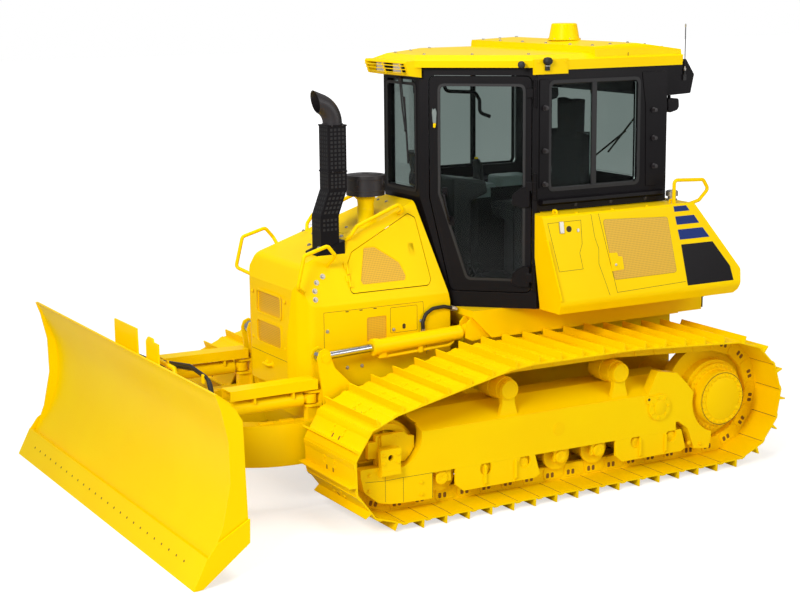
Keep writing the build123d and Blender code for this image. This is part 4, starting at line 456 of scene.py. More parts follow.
def bolt(bm, place, out, radius, height=None, washer=True):
    """Hexagon head with a chamfered top on a washer."""
    height = height or radius * 0.9
    if washer:
        turned(bm, place, out, [(radius * 1.45, -0.001), (radius * 1.45, radius * 0.2),
                                (radius, radius * 0.2)], 12)
    turned(bm, place, out, [(radius, 0), (radius, height * 0.8), (radius * 0.82, height), (0, height)], 6)


def smooth_path(points, bend, steps=6):
    """Points of a bent tube's centreline, with each inner corner turned into an arc."""
    points = [Vector(p) for p in points]
    path = [points[0]]
    for before, here, after in zip(points, points[1:], points[2:]):
        back, ahead = (before - here), (after - here)
        half = back.angle(ahead) / 2
        reach = min(bend / tan(half) if half < 1.55 else 0.001, back.length * 0.48, ahead.length * 0.48)
        start, end = here + back.normalized() * reach, here + ahead.normalized() * reach
        for k in range(steps + 1):
            t = k / steps
            path.append(start * (1 - t) ** 2 + here * 2 * t * (1 - t) + end * t ** 2)
    return path + [points[-1]]


def tube(bm, points, radius, bend=0.03, steps=10):
    """Round tube with closed ends through bent points."""
    path = smooth_path(points, bend) if len(points) > 2 else [Vector(p) for p in points]
    heading = (path[1] - path[0]).normalized()
    side = heading.orthogonal().normalized()
    rings = []
    for i, here in enumerate(path):
        ahead = path[min(i + 1, len(path) - 1)] - path[max(i - 1, 0)]
        side = (side - ahead.normalized() * side.dot(ahead.normalized())).normalized()
        other = ahead.normalized().cross(side)
        turns = (2 * pi * k / steps for k in range(steps))
        rings.append([bm.verts.new(here + (side * cos(t) + other * sin(t)) * radius) for t in turns])
    for low, high in zip(rings, rings[1:]):
        for i in range(steps):
            j = (i + 1) % steps
            bm.faces.new((low[i], low[j], high[j], high[i]))
    bm.faces.new(rings[0][::-1])
    bm.faces.new(rings[-1])


def circle(a, b, radius, steps=20, start=0.0):
    return [(a + radius * cos(start + 2 * pi * k / steps), b + radius * sin(start + 2 * pi * k / steps))
            for k in range(steps)]


def side_plane(y):
    """Left side plane: a forwards, b up, c outwards to the left."""
    return lambda a, b, c=0.0: Vector((a, y + c, b))


def front_plane(x):
    """Plane that faces forwards: a to the left, b up, c outwards."""
    return lambda a, b, c=0.0: Vector((x + c, a, b))


def rear_plane(x):
    """Plane that faces rearwards: a to the left, b up, c outwards."""
    return lambda a, b, c=0.0: Vector((x - c, a, b))


def level(a, b, c=0.0):
    """Level plane: a forwards, b to the left, c height."""
    return Vector((a, b, c))


def seams(bm, at, lines, width=0.003, height=0.0006):
    """Thin dark lines on a plane, each a run of 2D points."""
    for line in lines:
        for start, end in zip(line, line[1:]):
            one, two = Vector(start), Vector(end)
            along = (two - one).normalized() * width / 2
            across = Vector((-along.y, along.x))
            corners = [one - along - across, two + along - across, two + along + across,
                       one - along + across]
            slab(bm, at, [tuple(c) for c in corners], -0.0005, height)


# ---- undercarriage -------------------------------------------------------------
TRACK_Y = (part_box("track_left")[0][1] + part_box("track_left")[1][1]) / 2
SHOE_HALF = (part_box("track_left")[1][1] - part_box("track_left")[0][1]) / 2
RAIL_SIDE = 0.0922          # outer side of a link rail, from the track's middle
TIP_WIDTH = 0.010           # flat top of a grouser
GROUSER_BACK = 0.36         # foot of a grouser behind the link's middle, in pitches
TIP_OVER_PINS = 0.125       # grouser top over the pin line
SHOE_OVER_PINS = 0.075      # shoe plate's outer face over the pin line
ROLLERS = 7                 # track rollers on each side
ROLLER_R = 0.085
CARRIER_END_Y = 1.184       # outer end of a carrier roller


def link_frames():
    """Middle of each link in XZ, its direction along the chain and outward, read from the grouser tips."""
    node = NODES["track_left"]
    tips = {}
    for polygon in node.data.polygons:
        out = polygon.normal
        points = [node.data.vertices[i].co for i in polygon.vertices]
        along = Vector((-out.z, 0, out.x))
        run = [p.dot(along) for p in points]
        wide = max(p.y for p in points) - min(p.y for p in points)
        if abs(out.y) < 0.01 and abs(max(run) - min(run) - TIP_WIDTH) < 0.002 and wide > SHOE_HALF * 1.9:
            tip = along * (max(run) + min(run)) / 2 + out * points[0].dot(out)
            tips[(round(tip.x, 3), round(tip.z, 3))] = (tip, along, Vector((out.x, 0, out.z)))
    lower = sorted(tip.x for tip, _, out in tips.values() if out.z < -0.9995)
    pitch = min(b - a for a, b in zip(lower, lower[1:]))
    frames = []
    for tip, along, out in tips.values():
        middle = tip + along * (GROUSER_BACK * pitch - 0.009) - out * TIP_OVER_PINS
        frames.append((middle, along, out))
    return pitch, frames


def add_chain_details():
    pitch, links = link_frames()
    lips, heads, plates, holes = (bmesh.new() for _ in range(4))
    half = pitch / 2
    lip = [(half - 0.034, 0.0745), (half - 0.016, 0.0825), (half + 0.010, 0.0825), (half + 0.014, 0.0755)]
    outline = rounded([(-half - 0.022, -0.034), (half - 0.048, -0.034), (half - 0.036, -0.008),
                       (half - 0.036, 0.03), (half - 0.048, 0.056), (-half + 0.004, 0.056), (-half - 0.03,
                                                                                             0.03)], 0.012, 2)
    for middle, along, out in links:
        for side in (-1, 1):
            def at(a, b, c, side=side):
                return middle + along * a + out * b + LEFT * (TRACK_Y + side * c)
            slab(plates, at, outline, RAIL_SIDE - 0.001, RAIL_SIDE + 0.004, 0.001)
            turned(plates, at(-half, 0, RAIL_SIDE), LEFT * side, [(0.026, 0), (0.026, 0.004), (0.02, 0.005),
                                                                  (0, 0.005)], 16)
            # Dark windows through the link plates: painted shade in the openings.
            for a in (-0.022, 0.016):
                window = card(a - 0.012, a + 0.012, 0.006, 0.042, 0.010, 3)
                slab(holes, at, window, RAIL_SIDE, RAIL_SIDE + 0.0046)
            # Dark slot in the shoe plate: painted shade in the opening.
            slot = card(-0.034, -0.004, 0.036, 0.052, 0.006)
            place = at(0, SHOE_OVER_PINS, 0)
            slab(holes, lambda a, b, c: place + along * a + LEFT * side * b + out * c, slot, -0.001, 0.0006)
            for a in (0.004, 0.046):
                bolt(heads, at(a, SHOE_OVER_PINS, 0.071), out, 0.0115, 0.008, washer=False)
            # Dark line at each shoe joint: painted shade under the lip.
            seams(holes, lambda a, b, c: at(a, 0.065 - c, b), [[(half, 0.10), (half, SHOE_HALF - 0.004)]],
                  0.004, 0.0008)
        low = [middle + along * a + out * b + LEFT * (TRACK_Y - SHOE_HALF + 0.002) for a, b in lip]
        prism(lips, low, [p + LEFT * (2 * SHOE_HALF - 0.004) for p in low])
    piece("shoe_lips", lips, CAST, "machine", mirror=True)
    piece("shoe_bolts", heads, CAST, "machine", mirror=True)
    piece("link_plates", plates, CAST, "machine", mirror=True)
    piece("chain_openings", holes, SHADE, "machine", mirror=True)


def bolt_circle(bm, centre, axis, radius, count, size, start=0.0):
    axis = Vector(axis)
    side = axis.orthogonal().normalized()
    other = axis.cross(side)
    for k in range(count):
        turn = start + 2 * pi * k / count
        bolt(bm, Vector(centre) + (side * cos(turn) + other * sin(turn)) * radius, axis, size, size * 0.8,
             washer=False)


def add_final_drive_details():
    low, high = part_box("sprockets")
    x, z = (low[0] + high[0]) / 2, (low[2] + high[2]) / 2
    face = high[1]
    bolts = bmesh.new()
    bolt_circle(bolts, (x, face, z), LEFT, 0.170, 24, 0.011)
    bolt_circle(bolts, (x, 1.150, z), LEFT, 0.224, 30, 0.011)
    rings = bmesh.new()
    # Dark rings on the hub face: painted shade along the grooves.
    circles = [[(r * cos(pi * k / 24), r * sin(pi * k / 24)) for k in range(49)] for r in (0.188, 0.120)]
    seams(rings, lambda a, b, c: Vector((x + a, face + c, z + b)), circles, 0.0035, 0.0012)
    piece("final_drive_rings", rings, SHADE, "machine", mirror=True)
    for turn in (0.35, -0.55):
        turned(bolts, (x - 0.155 * cos(turn), face, z + 0.155 * sin(turn)), LEFT,
               [(0.016, 0), (0.016, 0.005), (0.009, 0.008), (0, 0.008)], 12)
    turned(bolts, (x, face - 0.001, z), LEFT, [(0.150, 0), (0.150, 0.004), (0.146, 0.006), (0, 0.006)], 40)
    piece("final_drive_bolts", bolts, CAST, "machine", mirror=True)


def add_roller_caps(covers):
    """End caps of the track rollers and the bolts of their shafts."""
    cap = [(0.046, 0), (0.046, 0.008), (0.040, 0.012), (0.018, 0.012), (0.016, 0.009), (0, 0.009)]
    low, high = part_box("track_rollers")
    first, last = high[0] - ROLLER_R, low[0] + ROLLER_R
    z = (low[2] + high[2]) / 2
    for k in range(ROLLERS):
        x = last + (first - last) * k / (ROLLERS - 1)
        for side in (-1, 1):
            y = TRACK_Y + side * 0.168
            turned(covers, (x, y, z), LEFT * side, cap, 20)
            bolt_circle(covers, (x, y + side * 0.011, z), LEFT * side, 0.030, 6, 0.0045)
            for a in (-0.038, 0.038):
                bolt(covers, (x + a, y, z + 0.050), LEFT * side, 0.010, 0.008)


def add_carrier_caps(covers):
    """Outer caps of the two carrier rollers."""
    cap = [(0.066, 0), (0.066, 0.012), (0.060, 0.016), (0.052, 0.016), (0.050, 0.013), (0, 0.013)]
    low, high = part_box("carrier_rollers")
    for x in (low[0] + 0.086, high[0] - 0.086):
        turned(covers, (x, CARRIER_END_Y - 0.004, (low[2] + high[2]) / 2), LEFT, cap, 32)


def add_track_frame_details():
    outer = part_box("track_frames")[1][1] - 0.014
    at = side_plane(outer)
    covers, holes = bmesh.new(), bmesh.new()
    pivot_face = (-1.346, outer + 0.014, 0.489)
    bolt_circle(covers, pivot_face, LEFT, 0.072, 7, 0.009, 0.4)
    turned(covers, pivot_face, LEFT, [(0.050, 0), (0.050, 0.004), (0.046, 0.006), (0, 0.006)], 28)
    ear = rounded([(-1.335, 0.570), (-1.245, 0.580), (-1.226, 0.562), (-1.236, 0.530), (-1.290, 0.500)],
                  0.014, 3)
    slab(covers, at, ear, 0.0, 0.013, 0.002)
    slab(holes, at, circle(-1.250, 0.556, 0.010, 12), 0.013, 0.0136)
    slab(covers, at, circle(-0.501, 0.451, 0.048, 32), 0, 0.0018)
    slab(covers, at, circle(-0.501, 0.451, 0.036, 32), 0, 0.0034)
    add_roller_caps(covers)
    add_carrier_caps(covers)
    toe = [[(0.842, 0.395), (0.842, 0.160)], [(0.709, 0.300), (0.709, 0.140)],
           [(0.492, 0.300), (0.492, 0.136)],
           [(0.492, 0.300), (0.709, 0.302), (0.842, 0.300), (0.985, 0.310)]]
    seams(holes, at, toe, 0.0022)
    for x, z in ((0.960, 0.250), (0.955, 0.352), (0.775, 0.352), (0.575, 0.250), (0.575, 0.170),
                 (-1.62, 0.19), (-1.72, 0.17)):
        bolt(covers, (x, outer, z), LEFT, 0.011)
    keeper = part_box("idler_mounts")[1][1]
    for x in (0.768, 0.872):
        for z in (0.480, 0.425):
            bolt(covers, (x, keeper, z), LEFT, 0.010)
    slab(covers, side_plane(keeper), card(0.750, 0.890, 0.345, 0.372, 0.006), -0.001, 0.005, 0.001)
    slab(holes, side_plane(keeper - 0.030), circle(0.820, 0.458, 0.0195, 20), 0, 0.002)
    yoke = rounded([(0.700, 0.548), (0.760, 0.580), (0.864, 0.580), (0.864, 0.404), (0.690, 0.404),
                    (0.650, 0.450)], 0.012, 2)
    slab(covers, side_plane(1.1512), yoke, -0.001, 0.007, 0.002)
    weld = [(0.40, 0.587), (-0.30, 0.588), (-1.20, 0.588)]
    tube(covers, [(x, outer - 0.004, z) for x, z in weld], 0.004, steps=6)
    piece("track_frame_covers", covers, CAST, "machine", mirror=True)
    piece("track_frame_gaps", holes, GAP, "machine", mirror=True)


def add_idler_details():
    low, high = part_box("idlers")
    x, z, r = (low[0] + high[0]) / 2, (low[2] + high[2]) / 2, (high[0] - low[0]) / 2
    rims = bmesh.new()
    for side in (-1, 1):
        y = TRACK_Y + side * 0.062
        for k in range(8):
            turn = 2 * pi * k / 8
            spoke = plane((x, y, z), (cos(turn), 0, sin(turn)), LEFT * side)
            foot, top = [(0.065, 0), (r - 0.07, 0)], [(r - 0.07, 0.022), (0.075, 0.026)]
            flanks = []
            for way in (-1, 1):
                low_edge = [spoke(a, b, 0.008 * way) for a, b in foot]
                flanks.append(low_edge + [spoke(a, b, 0.006 * way) for a, b in top])
            prism(rims, *flanks)
    piece("idler_ribs", rims, CAST, "machine", mirror=True)


# ---- engine cover ----------------------------------------------------------------
LEAN = radians(20.5)
CREASE_Z = 1.310
COVER_Y = 0.450
SLOPE = radians(20.6)


def hood_side(a, b, c=0.0):
    """Upper, leaning side of the cover: a forwards, b height over the ground, c outwards."""
    rise = (b - CREASE_Z) / cos(LEAN)
    out = Vector((0, cos(LEAN), sin(LEAN)))
    return Vector((a, COVER_Y, CREASE_Z)) + Vector((0, -sin(LEAN), cos(LEAN))) * rise + out * c


def hood_top_z(x):
    """Height of the sloping top panel."""
    return 1.583 + (1.075 - x) * tan(SLOPE)


def add_side_screens():
    """Perforated panels in the recesses of the two engine doors."""
    outline = [(0.566, 1.450), (0.502, 1.655), (0.424, 1.655), (0.257, 1.540), (0.223, 1.452),
               (0.232, 1.425), (0.557, 1.424)]
    for side, name in ((1, "left"), (-1, "right")):
        def at(a, b, c, side=side):
            place = hood_side(a, b, c)
            return Vector((place.x, place.y * side, place.z))
        bm = bmesh.new()
        slab(bm, at, rounded(outline, 0.012, 3), -0.0045, -0.0022)
        piece("side_screen_" + name, bm, SIDE_MESH, "hood_door_" + name)


def add_cover_details():
    flat = side_plane(COVER_Y)
    gaps, heads, small = bmesh.new(), bmesh.new(), bmesh.new()
    door = card(0.165, 0.374, 1.075, 1.250, 0.010, 3)
    seams(gaps, flat, [door + door[:1]], 0.0022)
    slab(gaps, flat, card(0.257, 0.281, 1.095, 1.131, 0.012, 4), 0, 0.0012)
    for x in (0.706, 0.600, 0.493):
        slab(gaps, flat, card(x - 0.012, x + 0.012, 1.256, 1.262, 0.002), 0, 0.0012)
    for x, z in ((0.856, 1.140), (0.856, 0.880), (0.350, 1.097), (0.598, 0.876), (0.134, 1.135),
                 (0.082, 0.930), (0.710, 0.876)):
        bolt(small, flat(x, z), LEFT, 0.009)
    for x, z in ((0.849, 1.501), (0.901, 1.466), (0.925, 1.414), (0.931, 1.360)):
        bolt(small, hood_side(x, z), hood_side(0, 0, 1) - hood_side(0, 0, 0), 0.013)
    latch = plane(hood_side(0.140, 1.620), FORWARD, hood_side(0, 1, 0) - hood_side(0, 0, 0))
    slab(heads, latch, card(-0.020, 0.020, -0.040, 0.040, 0.006), 0, 0.003, 0.001)
    red = bmesh.new()
    slab(red, latch, card(0.002, 0.016, -0.034, 0.034, 0.004), 0.003, 0.006, 0.001)
    turned(small, latch(-0.008, 0.012, 0.003), latch(0, 0, 1) - latch(0, 0, 0), [(0.008, 0), (0.008, 0.004),
                                                                                 (0, 0.005)], 12)
    seams(gaps, flat, [[(0.880, 0.830), (0.880, 1.268), (0.118, 1.268), (0.090, 0.900)]], 0.0022)
    add_side_screens()
    piece("hood_gaps", gaps, GAP, "machine", mirror=True)
    piece("hood_bolts", small, STEEL, "machine", mirror=True)
    piece("hood_latch_plate", heads, YELLOW, "hood_door_left")
    piece("hood_latch", red, RED, "hood_door_left")


def add_nose_details():
    """Rims of the two openings, bolts and the pull at the bottom of the nose."""
    front = bmesh.new()
    nose_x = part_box("nose_mask")[1][0]
    for z0 in (0.995, 1.200):
        rim_out = card(-0.200, 0.200, z0 - 0.012, z0 + 0.160, 0.034, 4)
        rim_in = card(-0.187, 0.187, z0 + 0.001, z0 + 0.147, 0.025, 4)
        band(front, front_plane(nose_x), rim_out, rim_in, -0.001, 0.0025)
    for y in (-0.255, 0.255):
        for z in (1.010, 1.330):
            bolt(front, (nose_x, y, z), FORWARD, 0.009)
    hook = [(nose_x - 0.002, -0.045, 0.860), (nose_x + 0.030, -0.045, 0.860),
            (nose_x + 0.030, 0.045, 0.860), (nose_x - 0.002, 0.045, 0.860)]
    tube(front, hook, 0.011, 0.02)
    for y in (-0.045, 0.045):
        turned(front, (nose_x - 0.002, y, 0.860), FORWARD, [(0.020, 0), (0.020, 0.006), (0.012, 0.009),
                                                            (0, 0.009)], 16)
    piece("nose_trim", front, YELLOW, "machine")


def add_hood_top_details():
    """Seams across the nose and the sloping top, and the top's bolts."""
    nose_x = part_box("nose_mask")[1][0]
    nose_gaps = bmesh.new()
    seams(nose_gaps, front_plane(nose_x), [[(-0.28, 0.925), (0.28, 0.925)]], 0.0025)

    def top(a, b, c):
        return Vector((a, b, hood_top_z(a))) + Vector((sin(SLOPE), 0, cos(SLOPE))) * c
    seams(nose_gaps, top, [[(0.62, -0.262), (0.62, 0.262)]], 0.0025)
    piece("nose_gaps", nose_gaps, GAP, "machine")
    clips = bmesh.new()
    for x, y in ((0.70, -0.20), (0.70, -0.05), (0.55, 0.16), (0.55, -0.16), (0.18, 0.06), (0.18, -0.06)):
        bolt(clips, top(x, y, 0), top(0, 0, 1) - top(0, 0, 0), 0.009)
    piece("hood_top_bolts", clips, STEEL, "machine")


def add_exhaust_details():
    """Columns of square openings in the guard, its joint and its foot bolts, and the pipe's clamp."""
    half = 0.068
    y, foot_x = 0.250, 0.755
    upper_x = foot_x - 0.065
    opening = rectangle(-0.0085, 0.0085, -0.0085, 0.0085)
    holes, dark, bright = bmesh.new(), bmesh.new(), bmesh.new()

    def wall(x_at, z0, z1, rows):
        """One run of the sleeve whose middle goes from x_at(z0) to x_at(z1)."""
        lean = (x_at(z1) - x_at(z0)) / (z1 - z0)
        for row in range(rows):
            z = z0 + (z1 - z0) * (row + 0.5) / rows
            for column in range(4):
                a = (column - 1.5) * 0.029
                for side in (-1, 1):
                    def flank(p, q, c):
                        return Vector((x_at(z) + a + p + q * lean, y + side * (half + c), z + q))

                    def face(p, q, c):
                        return Vector((x_at(z) + side * (half + c) + q * lean, y + a + p, z + q))
                    slab(holes, flank, opening, -0.0005, 0.0008)
                    slab(holes, face, opening, -0.0005, 0.0008)
    wall(lambda z: foot_x, 1.785, 1.880, 3)
    wall(lambda z: foot_x - (foot_x - upper_x) * (z - 1.890) / 0.173, 1.900, 2.055, 5)
    wall(lambda z: upper_x, 2.072, 2.172, 4)
    wall(lambda z: upper_x, 2.200, 2.478, 10)
    for z in (2.185, 2.491):
        for sy in (-1, 1):
            for a in (-0.04, 0.04):
                bolt(dark, (upper_x + a, y + sy * (half + 0.004), z), LEFT * sy, 0.006, washer=False)
    for a, b in ((-0.085, -0.080), (0.085, -0.080), (-0.085, 0.066), (0.085, 0.066)):
        x = foot_x + a
        bolt(bright, (x, y + b, hood_top_z(x) + 0.0135), (sin(SLOPE), 0, cos(SLOPE)), 0.011)
    turned(dark, (upper_x, y, 2.4962), UP, [(0.070, 0), (0.070, 0.006), (0.0655, 0.008), (0.0655, 0.0)], 32)
    # The openings are flat dark squares: painted shade in the guard's holes.
    piece("guard_openings", holes, RUBBER, "machine")
    piece("exhaust_clamp", dark, DARK, "machine")
    piece("exhaust_foot_bolts", bright, STEEL, "machine")


def add_precleaner_details():
    low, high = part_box("precleaner")
    x, y = (low[0] + high[0]) / 2, (low[1] + high[1]) / 2
    trim = bmesh.new()
    turned(trim, (x, y, high[2] - 0.002), UP, [(0.118, 0), (0.108, 0.006), (0.03, 0.008), (0.02, 0.014),
                                               (0, 0.014)], 36)
    turned(trim, (x, y, low[2] + 0.030), UP, [(0.1335, 0), (0.1350, 0.002), (0.1350, 0.006),
                                              (0.1335, 0.008)], 48)
    for k in range(4):
        turn = 2 * pi * k / 4 + 0.6
        out = Vector((cos(turn), sin(turn), 0))
        clip = plane(Vector((x, y, low[2] + 0.095)) + out * 0.133, UP.cross(out), UP)
        slab(trim, clip, card(-0.010, 0.010, -0.022, 0.022, 0.004), -0.001, 0.007, 0.002)
    piece("precleaner_trim", trim, DARK, "machine")
    band_mesh = bmesh.new()
    turned(band_mesh, (x, y, low[2] - 0.030), UP, [(0.058, 0), (0.0665, 0.004), (0.0665, 0.018),
                                                   (0.060, 0.022)], 32)
    piece("neck_clamp", band_mesh, YELLOW, "machine")


# ---- cab ---------------------------------------------------------------------------
DOOR_FRONT = Vector((0.020, 0.250, 0))
DOOR_REAR = Vector((-0.580, 0.800, 0))
DOOR_ALONG = (DOOR_REAR - DOOR_FRONT).normalized()
DOOR_OUT = Vector((-DOOR_ALONG.y, DOOR_ALONG.x, 0)) * -1


def door_side(u, z, c=0.0):
    """Angled door side on the left: u rearwards from its front corner, z height, c outwards."""
    return DOOR_FRONT + DOOR_ALONG * u + UP * z + DOOR_OUT * c


def gasket(bm, at, outline, radius, width, thick):
    """Rubber strip round an opening: it covers the edge by width to both sides."""
    middle = [sum(p[0] for p in outline) / len(outline), sum(p[1] for p in outline) / len(outline)]

    def grown(margin):
        return [(a + margin * (1 if a > middle[0] else -1), b + margin * (1 if b > middle[1] else -1))
                for a, b in outline]
    band(bm, at, rounded(grown(width), radius + width, 5), rounded(grown(-width * 0.6), radius, 5), -0.002,
         thick)


def add_escape_hammer(at, body):
    """Hammer in its clip on the left door's front post."""
    hammer, tip = bmesh.new(), bmesh.new()
    grip = [(0.096, 2.470), (0.118, 2.470), (0.122, 2.545), (0.112, 2.575), (0.100, 2.560), (0.092, 2.575),
            (0.090, 2.545)]
    slab(hammer, at, rounded(grip, 0.004, 2), 0.0, 0.010, 0.002)
    point = [(0.098, 2.440), (0.112, 2.440), (0.117, 2.4705), (0.097, 2.4705)]
    slab(tip, at, rounded(point, 0.004, 2), 0.0, 0.009, 0.002)
    piece("escape_hammer", hammer, PLASTIC, body)
    piece("escape_hammer_tip", tip, YELLOW, body)


def add_door_details():
    """Seals, hinge covers, handles and hinge bolts of both cab doors."""
    for side, name in ((1, "left"), (-1, "right")):
        def at(u, z, c=0.0, side=side):
            p = door_side(u, z, c)
            return Vector((p.x, p.y * side, p.z))
        out = at(0, 0, 1) - at(0, 0, 0)
        body = "cab_door_" + name
        seal, plates = bmesh.new(), bmesh.new()
        inner = [(0.146, 2.722), (0.146, 1.992), (0.336, 1.408), (0.716, 1.408), (0.716, 2.722)]
        outer = [(0.128, 2.740), (0.128, 1.988), (0.323, 1.390), (0.734, 1.390), (0.734, 2.740)]
        band(seal, at, rounded(outer, 0.048, 5), rounded(inner, 0.036, 5), -0.006, 0.003)
        piece("door_seal_" + name, seal, RUBBER, body)
        for low, high in ((1.905, 2.045), (1.352, 1.500)):
            cover = rounded([(0.642, low + 0.02), (0.700, low), (0.770, low), (0.770, high), (0.720, high),
                             (0.650, high - 0.05)], 0.022, 4)
            slab(plates, at, cover, 0.0, 0.026, 0.006)
        handle = [at(0.175, 1.99, 0.0), at(0.175, 1.99, 0.035), at(0.190, 1.90, 0.040),
                  at(0.215, 1.80, 0.035), at(0.215, 1.80, 0.0)]
        tube(plates, handle, 0.009, 0.02)
        slab(plates, at, card(0.158, 0.196, 1.965, 2.030, 0.010, 3), -0.001, 0.008, 0.003)
        slab(plates, at, rounded([(0.185, 1.83), (0.235, 1.83), (0.250, 1.77), (0.205, 1.77)], 0.008, 3),
             -0.001, 0.008, 0.003)
        piece("door_hardware_" + name, plates, BLACK, body)
        if side > 0:
            add_escape_hammer(at, body)
        hinge = bmesh.new()
        for z in (1.420, 2.050, 2.680):
            for dz in (-0.022, 0.022):
                bolt(hinge, at(0.765, z + dz, 0.0), out, 0.008)
        piece("door_hinge_bolts_" + name, hinge, BLACK, body)


def add_cab_details():
    wall = side_plane(0.800)
    frame_parts, bolts = bmesh.new(), bmesh.new()
    x0, x1, z0, z1 = -1.430, -0.684, 2.020, 2.746
    gasket(frame_parts, wall, rectangle(x0, x1, z0, z1), 0.035, 0.014, 0.004)
    middle = (x0 + x1) / 2
    slab(frame_parts, side_plane(0.782), rectangle(middle - 0.020, middle + 0.020, z0 - 0.002, z1 + 0.002),
         -0.004, 0.012, 0.003)
    for a, b in (((x0, z0), (x1, z0)), ((x0, z1), (x1, z1))):
        tube(frame_parts, [(a[0], 0.783, a[1] + (0.008 if a[1] < 2.4 else -0.008)),
                           (b[0], 0.783, b[1] + (0.008 if b[1] < 2.4 else -0.008))], 0.008, steps=6)
    piece("side_window_frame", frame_parts, RUBBER, "machine", mirror=True)
    trim = bmesh.new()
    ledge = [(0.800, 1.960), (0.836, 1.952), (0.838, 1.930), (0.800, 1.912)]
    prism(trim, [Vector((-0.604, y, z)) for y, z in ledge], [Vector((-1.640, y, z)) for y, z in ledge])
    strap = card(-0.672, -0.596, 2.030, 2.770, 0.010)
    slab(trim, wall, strap, -0.001, 0.006, 0.002)
    rear = rounded([(-1.672, 1.990), (-1.500, 1.990), (-1.490, 2.560), (-1.455, 2.790), (-1.672, 2.790)],
                   0.012, 2)
    slab(trim, wall, rear, -0.001, 0.005, 0.002)
    piece("cab_side_panels", trim, BLACK, "machine", mirror=True)
    for x, z in ((-0.636, 2.578), (-0.636, 2.288), (-0.636, 2.060), (-1.556, 2.523), (-1.560, 2.326),
                 (-1.566, 2.128)):
        turned(bolts, (x, 0.804, z), LEFT, [(0.018, 0), (0.018, 0.010), (0.010, 0.012), (0.010, 0.022),
                                            (0.014, 0.024), (0.014, 0.034), (0, 0.036)], 12)
    for x in (-0.9, -1.2, -1.5):
        bolt(bolts, (x, 0.800, 1.905), LEFT, 0.010)
    piece("cab_side_bolts", bolts, DARK, "machine", mirror=True)


def add_windshield_details():
    """Seal and wiper of the front pane."""
    shade = bmesh.new()
    front = front_plane(0.020)
    outline = rectangle(-0.200, 0.200, 2.000, 2.730)
    gasket(shade, front, outline, 0.03, 0.012, 0.004)
    piece("windshield_seal", shade, RUBBER, "machine")
    wiper = bmesh.new()
    turned(wiper, (0.022, 0.010, 2.752), FORWARD, [(0.022, 0), (0.022, 0.012), (0.012, 0.020), (0, 0.020)],
           16)
    tube(wiper, [(0.036, 0.010, 2.752), (0.040, 0.050, 2.560), (0.036, 0.085, 2.400)], 0.006, 0.05)
    tube(wiper, [(0.030, 0.060, 2.640), (0.030, 0.110, 2.180)], 0.007)
    tube(wiper, [(0.042, 0.085, 2.410), (0.030, 0.085, 2.405)], 0.009)
    tube(wiper, [(0.036, 0.030, 2.752), (0.038, 0.068, 2.580), (0.032, 0.088, 2.440)], 0.004, 0.05)
    piece("wiper", wiper, RUBBER, "machine")


def add_cab_rear_details():
    """Rear posts' trim, rear wiper and the work lamps."""
    rear_glass = bmesh.new()
    back = rear_plane(-1.680)
    for y in (-0.655, 0.655):
        slab(rear_glass, back, card(y - 0.030, y + 0.030, 1.96, 2.55, 0.01), -0.001, 0.005, 0.002)
    tube(rear_glass, [(-1.682, -0.12, 2.010), (-1.700, -0.10, 2.100), (-1.700, 0.30, 2.330)], 0.007, 0.05)
    tube(rear_glass, [(-1.694, 0.10, 2.160), (-1.694, 0.42, 2.440)], 0.007)
    piece("cab_rear_trim", rear_glass, RUBBER, "machine")
    lamp, lens = bmesh.new(), bmesh.new()
    body = rounded([(-1.615, 2.515), (-1.640, 2.500), (-1.700, 2.515), (-1.716, 2.540), (-1.712, 2.598),
                    (-1.622, 2.600)], 0.012, 2)
    slab(lamp, side_plane(0.745), [(a - 0.075, b - 0.006) for a, b in body], -0.055, 0.055, 0.008)
    tube(lamp, [(-1.740, 0.745, 2.585), (-1.740, 0.745, 2.612)], 0.012)
    tube(lamp, [(-1.684, 0.700, 2.560), (-1.740, 0.700, 2.560)], 0.010)
    slab(lens, lambda a, b, c: Vector((-1.792 - c, 0.745 + a, 2.545 + b)),
         card(-0.042, 0.042, -0.028, 0.032, 0.010, 3), -0.006, 0.002, 0.002)
    piece("rear_work_lamp", lamp, BLACK, "machine", mirror=True)
    piece("rear_work_lens", lens, LENS, "machine", mirror=True)


def add_lamp_details():
    """Two lamps behind bars under the visor."""
    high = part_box("front_lamps")[1]
    x, z = high[0], 2.838
    lens, bars, bright, liner = bmesh.new(), bmesh.new(), bmesh.new(), bmesh.new()
    for y in (-0.118, 0.118):
        face = lambda a, b, c, y=y: Vector((x + c, y + a, z + b))
        slab(liner, face, card(-0.062, 0.062, -0.042, 0.042, 0.018, 4), -0.055, -0.004, 0.003)
        band(bright, face, card(-0.060, 0.060, -0.040, 0.040, 0.018, 4), card(-0.053, 0.053, -0.034, 0.034,
                                                                              0.014, 4), -0.006, 0.003)
        slab(lens, face, card(-0.054, 0.054, -0.035, 0.035, 0.014, 4), -0.006, 0.0005)
    slab(liner, front_plane(0.030), rectangle(-0.268, 0.268, 2.786, 2.886), -0.004, 0.004)
    for k in range(3):
        share = (k + 0.6) / 3.2
        px, pz = 0.128 + 0.036 * share, 2.800 + 0.076 * share
        tube(bars, [(px - 0.02, -0.278, pz), (px + 0.010, -0.262, pz), (px + 0.010, 0.262, pz),
                    (px - 0.02, 0.278, pz)], 0.0032, 0.015, 8)
    for y in (-0.006, 0.006, -0.236, 0.236):
        tube(bars, [(0.138, y, 2.802), (0.168, y, 2.874)], 0.003, steps=6)
    piece("lamp_lenses", lens, LENS, "machine")
    piece("lamp_rims", bright, CHROME, "machine")
    piece("lamp_housings", liner, RUBBER, "machine")
    piece("lamp_guard", bars, YELLOW, "machine")


def deck_top(a):
    """Height of the raised middle of the roof."""
    if a > -1.43:
        return 2.976 + (a + 1.050) / -0.380 * 0.014
    return 2.990 - (-1.43 - a) / 0.365 * 0.052


